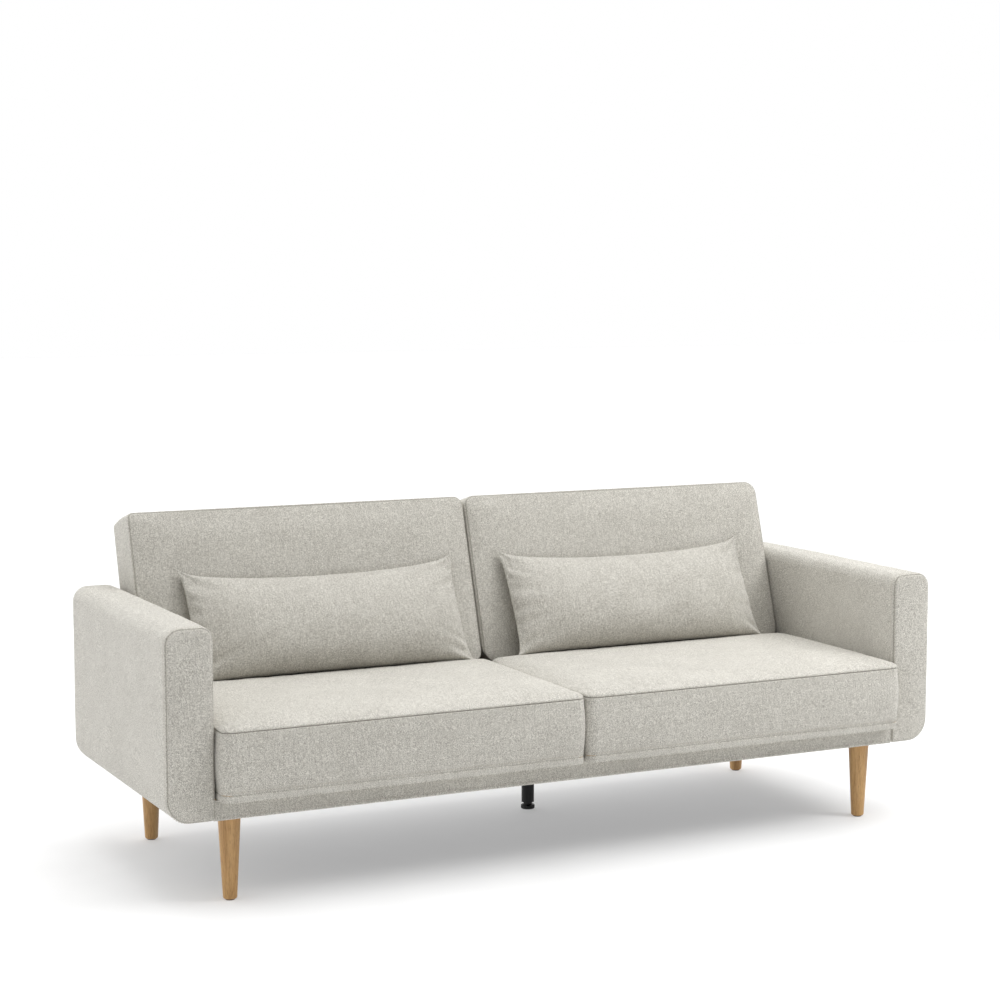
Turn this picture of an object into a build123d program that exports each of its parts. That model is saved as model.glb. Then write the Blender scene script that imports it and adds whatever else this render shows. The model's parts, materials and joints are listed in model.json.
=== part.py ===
"""Three-seat click-clack sofa bed with padded arms, a split reclining back and turned wooden legs.

Millimetres. Seen from the front, +X is to the right, +Y is away towards the back and +Z is up. Left and
right in the names are as seen from the front. The origin is on the floor, under the middle of the sofa.
"""

from build123d import *
import math
import os

os.makedirs("parts", exist_ok=True)

# ---- overall sizes ----
WIDTH = 2100.0
ARM_THICKNESS = 115.0
ARM_DEPTH = 785.0
ARM_TOP = 652.0
FRAME_BOTTOM = 205.0
FRAME_TOP = 253.0
SEAT_TOP = 418.0
SEAT_OVERHANG = 43.0
SEAT_DEPTH = 557.0
RECLINE_DEG = 17.0
BACK_THICKNESS = 142.0
BACK_LENGTH = 485.0
BACK_EDGE_R = 20.0
PIVOT_SETBACK = 592.0
PIVOT_Z = 359.0
FABRIC = 2.0
EDGE_GAP = 1.0
CUT_THROUGH = 1.0

# ---- where things are, front to back ----
RECLINE = math.radians(RECLINE_DEG)
BACK_HALF = BACK_THICKNESS / 2
REAR_REACH = (
    (BACK_LENGTH - BACK_EDGE_R) * math.sin(RECLINE)
    + (BACK_HALF - BACK_EDGE_R) * math.cos(RECLINE)
    + BACK_EDGE_R
)
DEPTH = SEAT_OVERHANG + PIVOT_SETBACK + REAR_REACH
SEAT_FRONT = -DEPTH / 2
SEAT_REAR = SEAT_FRONT + SEAT_DEPTH
ARM_FRONT = SEAT_FRONT + SEAT_OVERHANG
PIVOT_Y = ARM_FRONT + PIVOT_SETBACK

# ---- where things are, side to side ----
ARM_OUTER = WIDTH / 2
ARM_INNER = ARM_OUTER - ARM_THICKNESS
SIDE_GAP = 4.0
MIDDLE_GAP = 4.0
BODY_OUTER = ARM_INNER - SIDE_GAP
BODY_INNER = MIDDLE_GAP / 2

# ---- timber base ----
RAIL = 28.0
RAIL_SETBACK = 8.0
FRONT_RAIL_Y = ARM_FRONT + RAIL_SETBACK
REAR_RAIL_Y = ARM_FRONT + 702.0
HINGE_RAIL_Y = SEAT_REAR + 2.0
HINGE_RAIL_DEPTH = 40.0
CENTRE_BEAM = 40.0
BLOCK_HEIGHT = 40.0
BLOCK_SIZE = 62.0
BLOCK_MARGIN = 3.0
DUST_SHEET = 1.0
DUST_SIDE_GAP = 2.0

# ---- legs ----
LEG_X = 880.0
FRONT_LEG_Y = ARM_FRONT + 70.0
REAR_LEG_Y = ARM_FRONT + 672.0
LEG_TOP_R = 27.0
LEG_FOOT_R = 16.5
LEG_FOOT_ROUND = 4.0
PLATE = 58.0
PLATE_T = 2.5
GLIDE_H = 2.5
GLIDE_R = 11.0
LEG_BOLT_R = 4.0
LEG_BOLT_GRIP = 40.0
LEG_BOLT_RISE = 30.0

# ---- centre support ----
CENTRE_LEG_X = 130.0
CENTRE_LEG_Y = ARM_FRONT + 534.0
TUBE_R = 17.0
TUBE_WALL = 1.5
TUBE_BOTTOM = 18.5
PLUG_LENGTH = 30.0
PLUG_RECESS = 8.0
RECESS_GAP = 1.0
KNOB_R = 18.5
KNOB_H = 11.0
KNOB_ROUND = 2.5
KNOB_FLUTES = 8
FLUTE_R = 4.0
FLUTE_FOOT = 3.0
NECK_R = 11.5
NECK_TOP = 17.0
STEM_R = 5.0
STEM_TOP = 62.0
STEM_FOOT = 3.0
RUN_CLEARANCE = 0.05

# ---- click-clack hinges ----
PLATE_STEEL = 4.0
POCKET_DEPTH = 20.0
POCKET_R = 78.0
PIN_R = 5.0
PIN_HEAD_R = 8.0
PIN_HEAD_H = 1.4
PIN_HEAD_GAP = 0.2
SECTOR_R = 38.0
NOTCH_DEPTH = 5.0
NOTCH_HALF_DEG = 5.0
NOTCH_OVERREACH = 1.05
NOTCH_STEPS_DEG = (0.0, 20.0, 40.0)
WEB_HALF = 27.0
WEB_FRONT = ARM_FRONT + 540.0
WEB_REAR = ARM_FRONT + 650.0
OUTER_WEB_X = ARM_INNER - 4.0
ARM_PLATE_X = ARM_INNER - 9.5
CENTRE_WEB_X = 6.0
CENTRE_ARM_X = 12.0
ARM_PLATE_END = 200.0
PAWL_Y = 20.0
PAWL_Z = 54.0
PAWL_PIN_R = 3.0
PAWL_BOSS_R = 8.0
PAWL_TIP = (-4.0, 38.6)
PAWL_NOSE_LOW = [(-2.0, 8.0), (0.0, 0.0), (6.0, 0.8)]
PAWL_NOSE_HIGH = [(3.0, -7.0), (-4.0, 6.5)]
PAWL_SIDE_GAP = 0.3


# ---- small helpers ----
def block(x_span, y_span, z_span):
    """A box given by its low and high limits."""
    spans = (x_span, y_span, z_span)
    size = [high - low for low, high in spans]
    centre = [(high + low) / 2 for low, high in spans]
    return Pos(*centre) * Box(*size)


def rod_x(radius, x_low, x_high, y, z):
    """A round bar along X."""
    length = x_high - x_low
    return Pos((x_low + x_high) / 2, y, z) * Rot(Y=90) * Cylinder(radius, length)


def rod_z(radius, x, y, z_low, z_high):
    """A round bar along Z."""
    return Pos(x, y, (z_low + z_high) / 2) * Cylinder(radius, z_high - z_low)


def opposite(shape):
    """The same piece on the other side of the sofa."""
    return mirror(shape, about=Plane.YZ)


def both_sides(shapes):
    """The shapes and their mirror images."""
    return shapes + [opposite(shape) for shape in shapes]


def save(name, shapes):
    """Writes one sub-part, of one solid or of several like ones."""
    solids = [solid for shape in shapes for solid in shape.solids()]
    whole = solids[0] if len(solids) == 1 else Compound(children=solids)
    whole.label = name
    export_step(whole, f"parts/{name}.step")


def cut(shape, tools):
    """Takes every tool away from the shape."""
    for tool in tools:
        shape = shape - tool
    return shape


# ---- arms ----
ARM_RADII = {"outer_low": 90.0, "inner_low": 8.0, "outer_top": 35.0, "inner_top": 28.0}
ARM_FRONT_ROUND = 6.0
ARM_PANEL_T = 30.0
ARM_PANEL_INSET = 30.0
ARM_PANEL_FOOT = 9.0
ARM_BOLT_Z = 234.0
ARM_BOLT_SETBACKS = (150.0, 400.0, 620.0)
ARM_BOLT_R = 4.0
ARM_BOLT_HEAD_R = 6.5
ARM_BOLT_HEAD_H = 5.0
TEE_FLANGE_R = 11.0
TEE_FLANGE_T = 1.5
TEE_BARREL_R = 5.5
TEE_BARREL_L = 12.0


def arm_solid(inset):
    """The left arm's outer form, or the form a fabric thickness inside it."""
    width = ARM_THICKNESS - 2 * inset
    height = ARM_TOP - FRAME_BOTTOM - 2 * inset
    centre_x = -(ARM_OUTER + ARM_INNER) / 2
    centre_z = (ARM_TOP + FRAME_BOTTOM) / 2
    face = Pos(centre_x, centre_z) * Rectangle(width, height)
    corners = {
        "outer_low": (centre_x - width / 2, centre_z - height / 2),
        "inner_low": (centre_x + width / 2, centre_z - height / 2),
        "outer_top": (centre_x - width / 2, centre_z + height / 2),
        "inner_top": (centre_x + width / 2, centre_z + height / 2),
    }
    for name, (x, z) in corners.items():
        vertex = face.vertices().sort_by_distance((x, z, 0))[0]
        face = fillet(vertex, ARM_RADII[name] - inset)
    rear = ARM_FRONT + ARM_DEPTH - inset
    body = extrude(Plane.XZ.offset(-rear) * face, amount=ARM_DEPTH - 2 * inset)
    body = fillet(body.faces().sort_by(Axis.Y)[0].edges(), ARM_FRONT_ROUND - inset)
    return body


ARM_PANEL_X = -(ARM_OUTER + ARM_INNER) / 2


def arm_panel_blank():
    return block(
        (ARM_PANEL_X - ARM_PANEL_T / 2, ARM_PANEL_X + ARM_PANEL_T / 2),
        (ARM_FRONT + ARM_PANEL_INSET, ARM_FRONT + ARM_DEPTH - ARM_PANEL_INSET),
        (ARM_BOLT_Z - ARM_PANEL_FOOT, ARM_TOP - ARM_PANEL_INSET),
    )


def arm_bolts():
    bolts = []
    for setback in ARM_BOLT_SETBACKS:
        y = ARM_FRONT + setback
        head_x = -ARM_INNER + RAIL
        shank = rod_x(ARM_BOLT_R, ARM_PANEL_X - ARM_PANEL_T / 2, head_x, y, ARM_BOLT_Z)
        head = rod_x(ARM_BOLT_HEAD_R, head_x, head_x + ARM_BOLT_HEAD_H, y, ARM_BOLT_Z)
        bolts.append(shank + head)
    return bolts


def arm_tee_nuts():
    nuts = []
    outer_x = ARM_PANEL_X - ARM_PANEL_T / 2
    for setback in ARM_BOLT_SETBACKS:
        y = ARM_FRONT + setback
        flange = rod_x(TEE_FLANGE_R, outer_x - TEE_FLANGE_T, outer_x, y, ARM_BOLT_Z)
        barrel = rod_x(TEE_BARREL_R, outer_x, outer_x + TEE_BARREL_L, y, ARM_BOLT_Z)
        bore = rod_x(ARM_BOLT_R, outer_x - TEE_FLANGE_T, outer_x + TEE_BARREL_L, y, ARM_BOLT_Z)
        nuts.append(flange + barrel - bore)
    return nuts


# ---- seats ----
SEAT_CORNER_R = 25.0
SEAT_EDGE_R = 12.0
SEAT_RAIL = 25.0
SEAT_RAIL_H = 47.0
STRAP_WIDTH = 60.0
STRAP_T = 2.0
SEAT_STRAP_COUNT = 9
BACK_STRAP_COUNT = 7
FOAM_BOTTOM = FRAME_TOP + SEAT_RAIL_H + STRAP_T


def seat_block(inset, z_low, z_high):
    """The left seat's rounded block between two heights."""
    body = block(
        (-BODY_OUTER + inset, -BODY_INNER - inset),
        (SEAT_FRONT + inset, SEAT_REAR - inset),
        (z_low, z_high),
    )
    body = fillet(body.edges().filter_by(Axis.Z), SEAT_CORNER_R - inset)
    if z_high > SEAT_TOP - 2 * FABRIC:
        body = fillet(body.faces().sort_by(Axis.Z)[-1].edges(), SEAT_EDGE_R - inset)
    return body


def seat_frame():
    """A glued timber frame with one cross rail, under the webbing."""
    outer = seat_block(FABRIC, FRAME_TOP, FRAME_TOP + SEAT_RAIL_H)
    low_x = -BODY_OUTER + FABRIC + SEAT_RAIL
    high_x = -BODY_INNER - FABRIC - SEAT_RAIL
    middle = (low_x + high_x) / 2
    low_y = SEAT_FRONT + FABRIC + SEAT_RAIL
    high_y = SEAT_REAR - FABRIC - SEAT_RAIL
    z_span = (FRAME_TOP, FRAME_TOP + SEAT_RAIL_H)
    bays = [
        block((low_x, middle - SEAT_RAIL / 2), (low_y, high_y), z_span),
        block((middle + SEAT_RAIL / 2, high_x), (low_y, high_y), z_span),
    ]
    return cut(outer, bays)


def seat_webbing():
    """Elastic straps stapled over the front and the rear rail of the seat frame."""
    y_span = (SEAT_FRONT + FABRIC + SEAT_RAIL / 2, SEAT_REAR - FABRIC - SEAT_RAIL / 2)
    pitch = (BODY_OUTER - BODY_INNER) / SEAT_STRAP_COUNT
    low_z = FRAME_TOP + SEAT_RAIL_H
    straps = []
    for i in range(SEAT_STRAP_COUNT):
        x = -BODY_INNER - pitch * (i + 0.5)
        straps.append(block((x - STRAP_WIDTH / 2, x + STRAP_WIDTH / 2), y_span, (low_z, low_z + STRAP_T)))
    return straps


def seat_foam():
    return seat_block(FABRIC, FOAM_BOTTOM, SEAT_TOP - FABRIC)


def seat_cover():
    outer = seat_block(0.0, FRAME_TOP, SEAT_TOP)
    return outer - seat_block(FABRIC, FRAME_TOP - FABRIC, SEAT_TOP - FABRIC)


# ---- base ----
def screw_down(x, y, z, head, shank, length):
    """A round-headed screw driven down through the surface at height z."""
    head_r, head_h = head
    return rod_z(head_r, x, y, z, z + head_h) + rod_z(shank, x, y, z - length, z)


def screw_up(x, y, z, head, shank, length):
    """A round-headed screw driven up through the surface at height z."""
    head_r, head_h = head
    return rod_z(head_r, x, y, z - head_h, z) + rod_z(shank, x, y, z, z + length)


LEG_SCREW_HEAD = (4.0, 2.0)
LEG_SCREW_R = 2.0
LEG_SCREW_L = 22.0
LEG_SCREW_OFFSET = 21.0
CENTRE_PLATE_HALF = (30.0, 20.0)
CENTRE_SCREW_OFFSET = (23.0, 12.0)
BRACKET_SCREW_HEAD = (5.0, 3.0)
BRACKET_SCREW_R = 2.5
BRACKET_SCREW_L = 34.0
BRACKET_SCREW_SETBACKS = (551.0, 635.0)
BRACKET_SCREW_SHIFT = 5.0
CENTRE_SCREW_SHIFT = 8.0
BRACKET_FOOT_HALF = 12.0
CENTRE_FOOT_HALF = 20.0


def leg_centres():
    return [(x, y) for x in (-LEG_X, LEG_X) for y in (FRONT_LEG_Y, REAR_LEG_Y)]


def leg_screws():
    screws = []
    z = FRAME_BOTTOM - PLATE_T
    for x, y in leg_centres():
        for dx in (-LEG_SCREW_OFFSET, LEG_SCREW_OFFSET):
            for dy in (-LEG_SCREW_OFFSET, LEG_SCREW_OFFSET):
                screws.append(screw_up(x + dx, y + dy, z, LEG_SCREW_HEAD, LEG_SCREW_R, LEG_SCREW_L))
    off_x, off_y = CENTRE_SCREW_OFFSET
    middle_y = HINGE_RAIL_Y + HINGE_RAIL_DEPTH / 2
    for dx in (-off_x, off_x):
        for dy in (-off_y, off_y):
            x = CENTRE_LEG_X + dx
            screws.append(screw_up(x, middle_y + dy, z, LEG_SCREW_HEAD, LEG_SCREW_R, LEG_SCREW_L))
    return screws


def bracket_screws():
    outer_x = ARM_INNER - EDGE_GAP - BRACKET_FOOT_HALF - BRACKET_SCREW_SHIFT
    centre_x = CENTRE_WEB_X + CENTRE_SCREW_SHIFT
    z = FRAME_TOP + PLATE_STEEL
    screws = []
    for setback in BRACKET_SCREW_SETBACKS:
        y = ARM_FRONT + setback
        for x in (-outer_x, outer_x, -centre_x, centre_x):
            screws.append(screw_down(x, y, z, BRACKET_SCREW_HEAD, BRACKET_SCREW_R, BRACKET_SCREW_L))
    return screws


def corner_blocks():
    blocks = []
    z_span = (FRAME_BOTTOM, FRAME_BOTTOM + BLOCK_HEIGHT)
    x_span = (-ARM_INNER + RAIL, -ARM_INNER + RAIL + BLOCK_SIZE)
    reach = BLOCK_SIZE / 2 + BLOCK_MARGIN
    blocks.append(block(x_span, (FRONT_RAIL_Y + RAIL, FRONT_LEG_Y + reach), z_span))
    blocks.append(block(x_span, (REAR_LEG_Y - reach, REAR_RAIL_Y), z_span))
    return both_sides(blocks)


def leg_bolts():
    top = FRAME_BOTTOM + LEG_BOLT_RISE
    low = FRAME_BOTTOM - PLATE_T - LEG_BOLT_GRIP
    return [rod_z(LEG_BOLT_R, x, y, low, top) for x, y in leg_centres()]


def leg_plates():
    half = PLATE / 2
    z_span = (FRAME_BOTTOM - PLATE_T, FRAME_BOTTOM)
    return [block((x - half, x + half), (y - half, y + half), z_span) for x, y in leg_centres()]


def turned_leg(x, y):
    """A tapered round leg with a softened foot."""
    low, high = GLIDE_H, FRAME_BOTTOM - PLATE_T
    outline = Polyline((0, low), (LEG_FOOT_R, low), (LEG_TOP_R, high), (0, high), close=True)
    section = make_face(Plane.XZ * outline)
    leg = revolve(section, Axis.Z)
    leg = fillet(leg.edges().sort_by(Axis.Z)[0], LEG_FOOT_ROUND)
    return Pos(x, y, 0) * leg


def dust_cover(holes):
    z_span = (FRAME_BOTTOM - DUST_SHEET, FRAME_BOTTOM)
    sheet = block(
        (-ARM_INNER + DUST_SIDE_GAP, ARM_INNER - DUST_SIDE_GAP),
        (FRONT_RAIL_Y + RAIL + EDGE_GAP, REAR_RAIL_Y - EDGE_GAP),
        z_span,
    )
    return cut(sheet, holes)


def rail_covers():
    """Fabric wrapped over the front and the rear rail and turned under them."""
    x_span = (-ARM_INNER + EDGE_GAP, ARM_INNER - EDGE_GAP)
    low_z = FRAME_BOTTOM - FABRIC
    front = block(x_span, (FRONT_RAIL_Y - FABRIC, FRONT_RAIL_Y), (low_z, FRAME_TOP))
    front = front + block(x_span, (FRONT_RAIL_Y - FABRIC, FRONT_RAIL_Y + RAIL), (low_z, FRAME_BOTTOM))
    rear_face = REAR_RAIL_Y + RAIL
    rear = block(x_span, (rear_face, rear_face + FABRIC), (low_z, FRAME_TOP))
    rear = rear + block(x_span, (REAR_RAIL_Y, rear_face + FABRIC), (low_z, FRAME_BOTTOM))
    return [front, rear]


# ---- centre support with its levelling foot ----
def centre_plug():
    """The plastic plug in the tube's end, threaded for the stem and recessed for the knob's neck."""
    low, high = TUBE_BOTTOM, TUBE_BOTTOM + PLUG_LENGTH
    plug = rod_z(TUBE_R - TUBE_WALL, CENTRE_LEG_X, CENTRE_LEG_Y, low, high)
    recess = rod_z(NECK_R + RECESS_GAP, CENTRE_LEG_X, CENTRE_LEG_Y, low, low + PLUG_RECESS)
    thread = rod_z(STEM_R + RUN_CLEARANCE, CENTRE_LEG_X, CENTRE_LEG_Y, low, high)
    return cut(plug, [recess, thread])


def centre_tube():
    low, high = TUBE_BOTTOM, FRAME_BOTTOM - PLATE_T
    tube = rod_z(TUBE_R, CENTRE_LEG_X, CENTRE_LEG_Y, low, high)
    return tube - rod_z(TUBE_R - TUBE_WALL, CENTRE_LEG_X, CENTRE_LEG_Y, low, high)


def levelling_knob():
    disc = rod_z(KNOB_R, CENTRE_LEG_X, CENTRE_LEG_Y, 0.0, KNOB_H)
    disc = fillet(disc.edges().filter_by(GeomType.CIRCLE), KNOB_ROUND)
    neck = rod_z(NECK_R, CENTRE_LEG_X, CENTRE_LEG_Y, KNOB_H, NECK_TOP)
    knob = disc + neck
    for i in range(KNOB_FLUTES):
        angle = 2 * math.pi * i / KNOB_FLUTES
        reach = KNOB_R + FLUTE_R / 2
        x = CENTRE_LEG_X + reach * math.cos(angle)
        y = CENTRE_LEG_Y + reach * math.sin(angle)
        knob = knob - rod_z(FLUTE_R, x, y, FLUTE_FOOT, KNOB_H + CUT_THROUGH)
    socket_low = STEM_FOOT - RUN_CLEARANCE
    return knob - rod_z(STEM_R + RUN_CLEARANCE, CENTRE_LEG_X, CENTRE_LEG_Y, socket_low, NECK_TOP)


# ---- click-clack hinges ----
def steel_plate(outline, x_low, thickness=PLATE_STEEL):
    """A flat plate in a YZ plane, from x_low to x_low plus its thickness."""
    return extrude(Plane.YZ.offset(x_low) * outline, amount=thickness)


def notched_sector():
    """The round head of a fixed bracket, with a notch for each position of the back."""
    head = Circle(SECTOR_R)
    tip_deg = math.degrees(math.atan2(PAWL_TIP[0], PAWL_TIP[1])) + RECLINE_DEG
    for step in NOTCH_STEPS_DEG:
        angles = [tip_deg + step + side * NOTCH_HALF_DEG for side in (-1, 1)]
        reach = SECTOR_R * NOTCH_OVERREACH
        points = [(reach * math.sin(math.radians(a)), reach * math.cos(math.radians(a))) for a in angles]
        root = math.radians(tip_deg + step)
        depth = SECTOR_R - NOTCH_DEPTH
        points.append((depth * math.sin(root), depth * math.cos(root)))
        head = head - make_face(Polyline(*points, close=True))
    return head


def fixed_web(x_low, head):
    """An upright plate that rises from the base to the pivot."""
    drop = PIVOT_Z - FRAME_TOP - PLATE_STEEL / 2
    web = Pos(0, -drop / 2) * Rectangle(2 * WEB_HALF, drop)
    outline = Pos(PIVOT_Y, PIVOT_Z) * (web + head)
    through = (x_low - CUT_THROUGH, x_low + PLATE_STEEL + CUT_THROUGH)
    return steel_plate(outline, x_low) - rod_x(PIN_R + RUN_CLEARANCE, *through, PIVOT_Y, PIVOT_Z)


def bracket_foot(x_low, x_high):
    return block((x_low, x_high), (WEB_FRONT, WEB_REAR), (FRAME_TOP, FRAME_TOP + PLATE_STEEL))


def outer_bracket():
    foot_low = -ARM_INNER + EDGE_GAP
    foot = bracket_foot(foot_low, foot_low + 2 * BRACKET_FOOT_HALF)
    return foot + fixed_web(-OUTER_WEB_X, notched_sector())


def centre_bracket():
    head = Circle(WEB_HALF)
    webs = fixed_web(-CENTRE_WEB_X, head) + fixed_web(CENTRE_WEB_X - PLATE_STEEL, head)
    return bracket_foot(-CENTRE_FOOT_HALF, CENTRE_FOOT_HALF) + webs


# ---- back halves, drawn upright about their pivot and then reclined ----
def reclined(shape):
    return Pos(0, PIVOT_Y, PIVOT_Z) * Rot(X=-RECLINE_DEG) * shape


def back_profile(inset):
    """The side view of a back half: round about the pivot, square with soft corners at the top."""
    radius = BACK_HALF - inset
    top = BACK_LENGTH - inset
    slab = Pos(0, top / 2) * Rectangle(2 * radius, top)
    for side in (-1, 1):
        vertex = slab.vertices().sort_by_distance((side * radius, top, 0))[0]
        slab = fillet(vertex, BACK_EDGE_R - inset)
    return slab + Circle(radius)


BACK_SIDE_ROUND = 12.0
FRAME_FRONT_Y = 15.0
FRAME_REAR_Y = 64.0
STILE = 28.0
FRAME_OUTER_GAP = 6.0
FRAME_INNER_GAP = 4.0
BOTTOM_RAIL_Z = (-35.0, 10.0)
BOTTOM_RAIL_REAR_Y = 55.0
TOP_RAIL_Z = (436.0, 476.0)
SPACER_Z = (90.0, 210.0)
FOAM_REAR_Y = FRAME_FRONT_Y - STRAP_T


def back_body(inset):
    """The left back half's solid form, with pockets for the hinges at its lower corners."""
    low_x, high_x = -BODY_OUTER + inset, -BODY_INNER - inset
    body = extrude(Plane.YZ.offset(low_x) * back_profile(inset), amount=high_x - low_x)
    ends = body.faces().sort_by(Axis.X)
    body = fillet(ends[0].edges() + ends[-1].edges(), BACK_SIDE_ROUND - inset)
    depth = POCKET_DEPTH + inset
    pocket_r = POCKET_R + inset
    pockets = [
        rod_x(pocket_r, -BODY_OUTER - CUT_THROUGH, -BODY_OUTER + depth, 0, 0),
        rod_x(pocket_r, -BODY_INNER - depth, -BODY_INNER + CUT_THROUGH, 0, 0),
    ]
    return cut(body, pockets)


def back_frame():
    """Two stiles, three rails and the packing blocks that carry the hinge arms."""
    outer_x = -BODY_OUTER + POCKET_DEPTH + FRAME_OUTER_GAP
    inner_x = -BODY_INNER - POCKET_DEPTH - FRAME_INNER_GAP
    y_span = (FRAME_FRONT_Y, FRAME_REAR_Y)
    frame = block((outer_x, inner_x), (FRAME_FRONT_Y, BOTTOM_RAIL_REAR_Y), BOTTOM_RAIL_Z)
    frame += block((outer_x, inner_x), y_span, TOP_RAIL_Z)
    frame += block((outer_x, outer_x + STILE), y_span, (BOTTOM_RAIL_Z[1], TOP_RAIL_Z[1]))
    frame += block((inner_x - STILE, inner_x), y_span, (BOTTOM_RAIL_Z[1], TOP_RAIL_Z[1]))
    frame += block((-ARM_PLATE_X + PLATE_STEEL, outer_x), y_span, SPACER_Z)
    frame += block((inner_x, -CENTRE_ARM_X), y_span, SPACER_Z)
    return frame


def back_webbing():
    """Elastic straps stapled over the bottom and the top rail of a back frame."""
    z_span = ((BOTTOM_RAIL_Z[0] + BOTTOM_RAIL_Z[1]) / 2, (TOP_RAIL_Z[0] + TOP_RAIL_Z[1]) / 2)
    pitch = (BODY_OUTER - BODY_INNER) / BACK_STRAP_COUNT
    y_span = (FRAME_FRONT_Y - STRAP_T, FRAME_FRONT_Y)
    straps = []
    for i in range(BACK_STRAP_COUNT):
        x = -BODY_INNER - pitch * (i + 0.5)
        straps.append(block((x - STRAP_WIDTH / 2, x + STRAP_WIDTH / 2), y_span, z_span))
    return straps


ARM_OUTLINE = [
    (-18.0, 12.0),
    (20.0, 100.0),
    (20.0, ARM_PLATE_END),
    (58.0, ARM_PLATE_END),
    (58.0, 100.0),
    (22.0, 0.0),
]
ARM_BOSS_R = 24.0
BACK_SCREW_Z = (110.0, 180.0)
BACK_SCREW_Y = 39.0
BACK_SCREW_HEAD_H = 2.0
BACK_SCREW_HEAD_R = 5.0
BACK_SCREW_R = 2.5
BACK_SCREW_L = 26.0


def hinge_arms():
    """The two moving plates of a back half, outer one first."""
    outline = make_face(Polyline(*ARM_OUTLINE, close=True)) + Circle(ARM_BOSS_R)
    outer = steel_plate(outline, -ARM_PLATE_X)
    inner = steel_plate(outline, -CENTRE_ARM_X)
    return [outer, inner]


def hinge_pins():
    """Pivot pins headed at both ends, and the pin that carries the pawl."""
    pins = []
    outer_web, outer_arm = -OUTER_WEB_X, -ARM_PLATE_X + PLATE_STEEL
    pin = rod_x(PIN_R, outer_web - PIN_HEAD_H, outer_arm + PIN_HEAD_H, 0, 0)
    head_end = outer_web - PIN_HEAD_GAP
    pin += rod_x(PIN_HEAD_R, head_end - PIN_HEAD_H, head_end, 0, 0)
    pin += rod_x(PIN_HEAD_R, outer_arm, outer_arm + PIN_HEAD_H, 0, 0)
    pins.append(pin)
    inner_arm, inner_web = -CENTRE_ARM_X, -CENTRE_WEB_X + PLATE_STEEL
    pin = rod_x(PIN_R, inner_arm - PIN_HEAD_H, inner_web + PIN_HEAD_H, 0, 0)
    pin += rod_x(PIN_HEAD_R, inner_arm - PIN_HEAD_H, inner_arm, 0, 0)
    pin += rod_x(PIN_HEAD_R, inner_web + PIN_HEAD_GAP, inner_web + PIN_HEAD_H, 0, 0)
    pins.append(pin)
    pins.append(rod_x(PAWL_PIN_R, outer_web - PIN_HEAD_GAP, outer_arm, PAWL_Y, PAWL_Z))
    return pins


def back_screws():
    screws = []
    outer_x = -ARM_PLATE_X
    inner_x = -CENTRE_ARM_X + PLATE_STEEL
    for z in BACK_SCREW_Z:
        shank = rod_x(BACK_SCREW_R, outer_x, outer_x + BACK_SCREW_L, BACK_SCREW_Y, z)
        head = rod_x(BACK_SCREW_HEAD_R, outer_x - BACK_SCREW_HEAD_H, outer_x, BACK_SCREW_Y, z)
        screws.append(shank + head)
        shank = rod_x(BACK_SCREW_R, inner_x - BACK_SCREW_L, inner_x, BACK_SCREW_Y, z)
        head = rod_x(BACK_SCREW_HEAD_R, inner_x, inner_x + BACK_SCREW_HEAD_H, BACK_SCREW_Y, z)
        screws.append(shank + head)
    return screws


def pawl():
    """The catch that drops into the sector's notches."""
    tip_y, tip_z = PAWL_TIP
    boss = Pos(PAWL_Y, PAWL_Z) * Circle(PAWL_BOSS_R)
    nose_low = [(tip_y + dy, tip_z + dz) for dy, dz in PAWL_NOSE_LOW]
    nose_high = [(PAWL_Y + dy, PAWL_Z + dz) for dy, dz in PAWL_NOSE_HIGH]
    nose = Polyline(*nose_low, *nose_high, close=True)
    outline = boss + make_face(nose)
    plate = steel_plate(outline, -OUTER_WEB_X + PAWL_SIDE_GAP, PLATE_STEEL - 2 * PAWL_SIDE_GAP)
    through = (-OUTER_WEB_X - CUT_THROUGH, -OUTER_WEB_X + PLATE_STEEL + CUT_THROUGH)
    return plate - rod_x(PAWL_PIN_R + RUN_CLEARANCE, *through, PAWL_Y, PAWL_Z)


# ---- loose pillows ----
PILLOW_WIDTH = 752.0
PILLOW_CENTRE_X = 446.0
PILLOW_LEAN_DEG = 27.4
PILLOW_HEIGHT = 296.0
PILLOW_FRONT = 62.0
PILLOW_REAR = 44.0
PILLOW_FOOT_SETBACK = 457.5
PILLOW_FOOT_Z = 434.0
PILLOW_SKIN = 3.0
SEAM_SKIN = 12.0


def pillow_profile(inset):
    """A lens with a sharp seam along its top and its bottom."""
    low = SEAM_SKIN * inset / PILLOW_SKIN
    high = PILLOW_HEIGHT - low
    middle = PILLOW_HEIGHT / 2
    front = ThreePointArc((0, low), (-(PILLOW_FRONT - inset), middle), (0, high))
    rear = ThreePointArc((0, high), (PILLOW_REAR - inset, middle), (0, low))
    return make_face(front + rear)


def pillow_solid(inset):
    length = PILLOW_WIDTH - 2 * inset
    bar = extrude(Plane.YZ.offset(-length / 2) * pillow_profile(inset), amount=length)
    place = Pos(-PILLOW_CENTRE_X, ARM_FRONT + PILLOW_FOOT_SETBACK, PILLOW_FOOT_Z)
    return place * Rot(X=-PILLOW_LEAN_DEG) * bar


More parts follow.
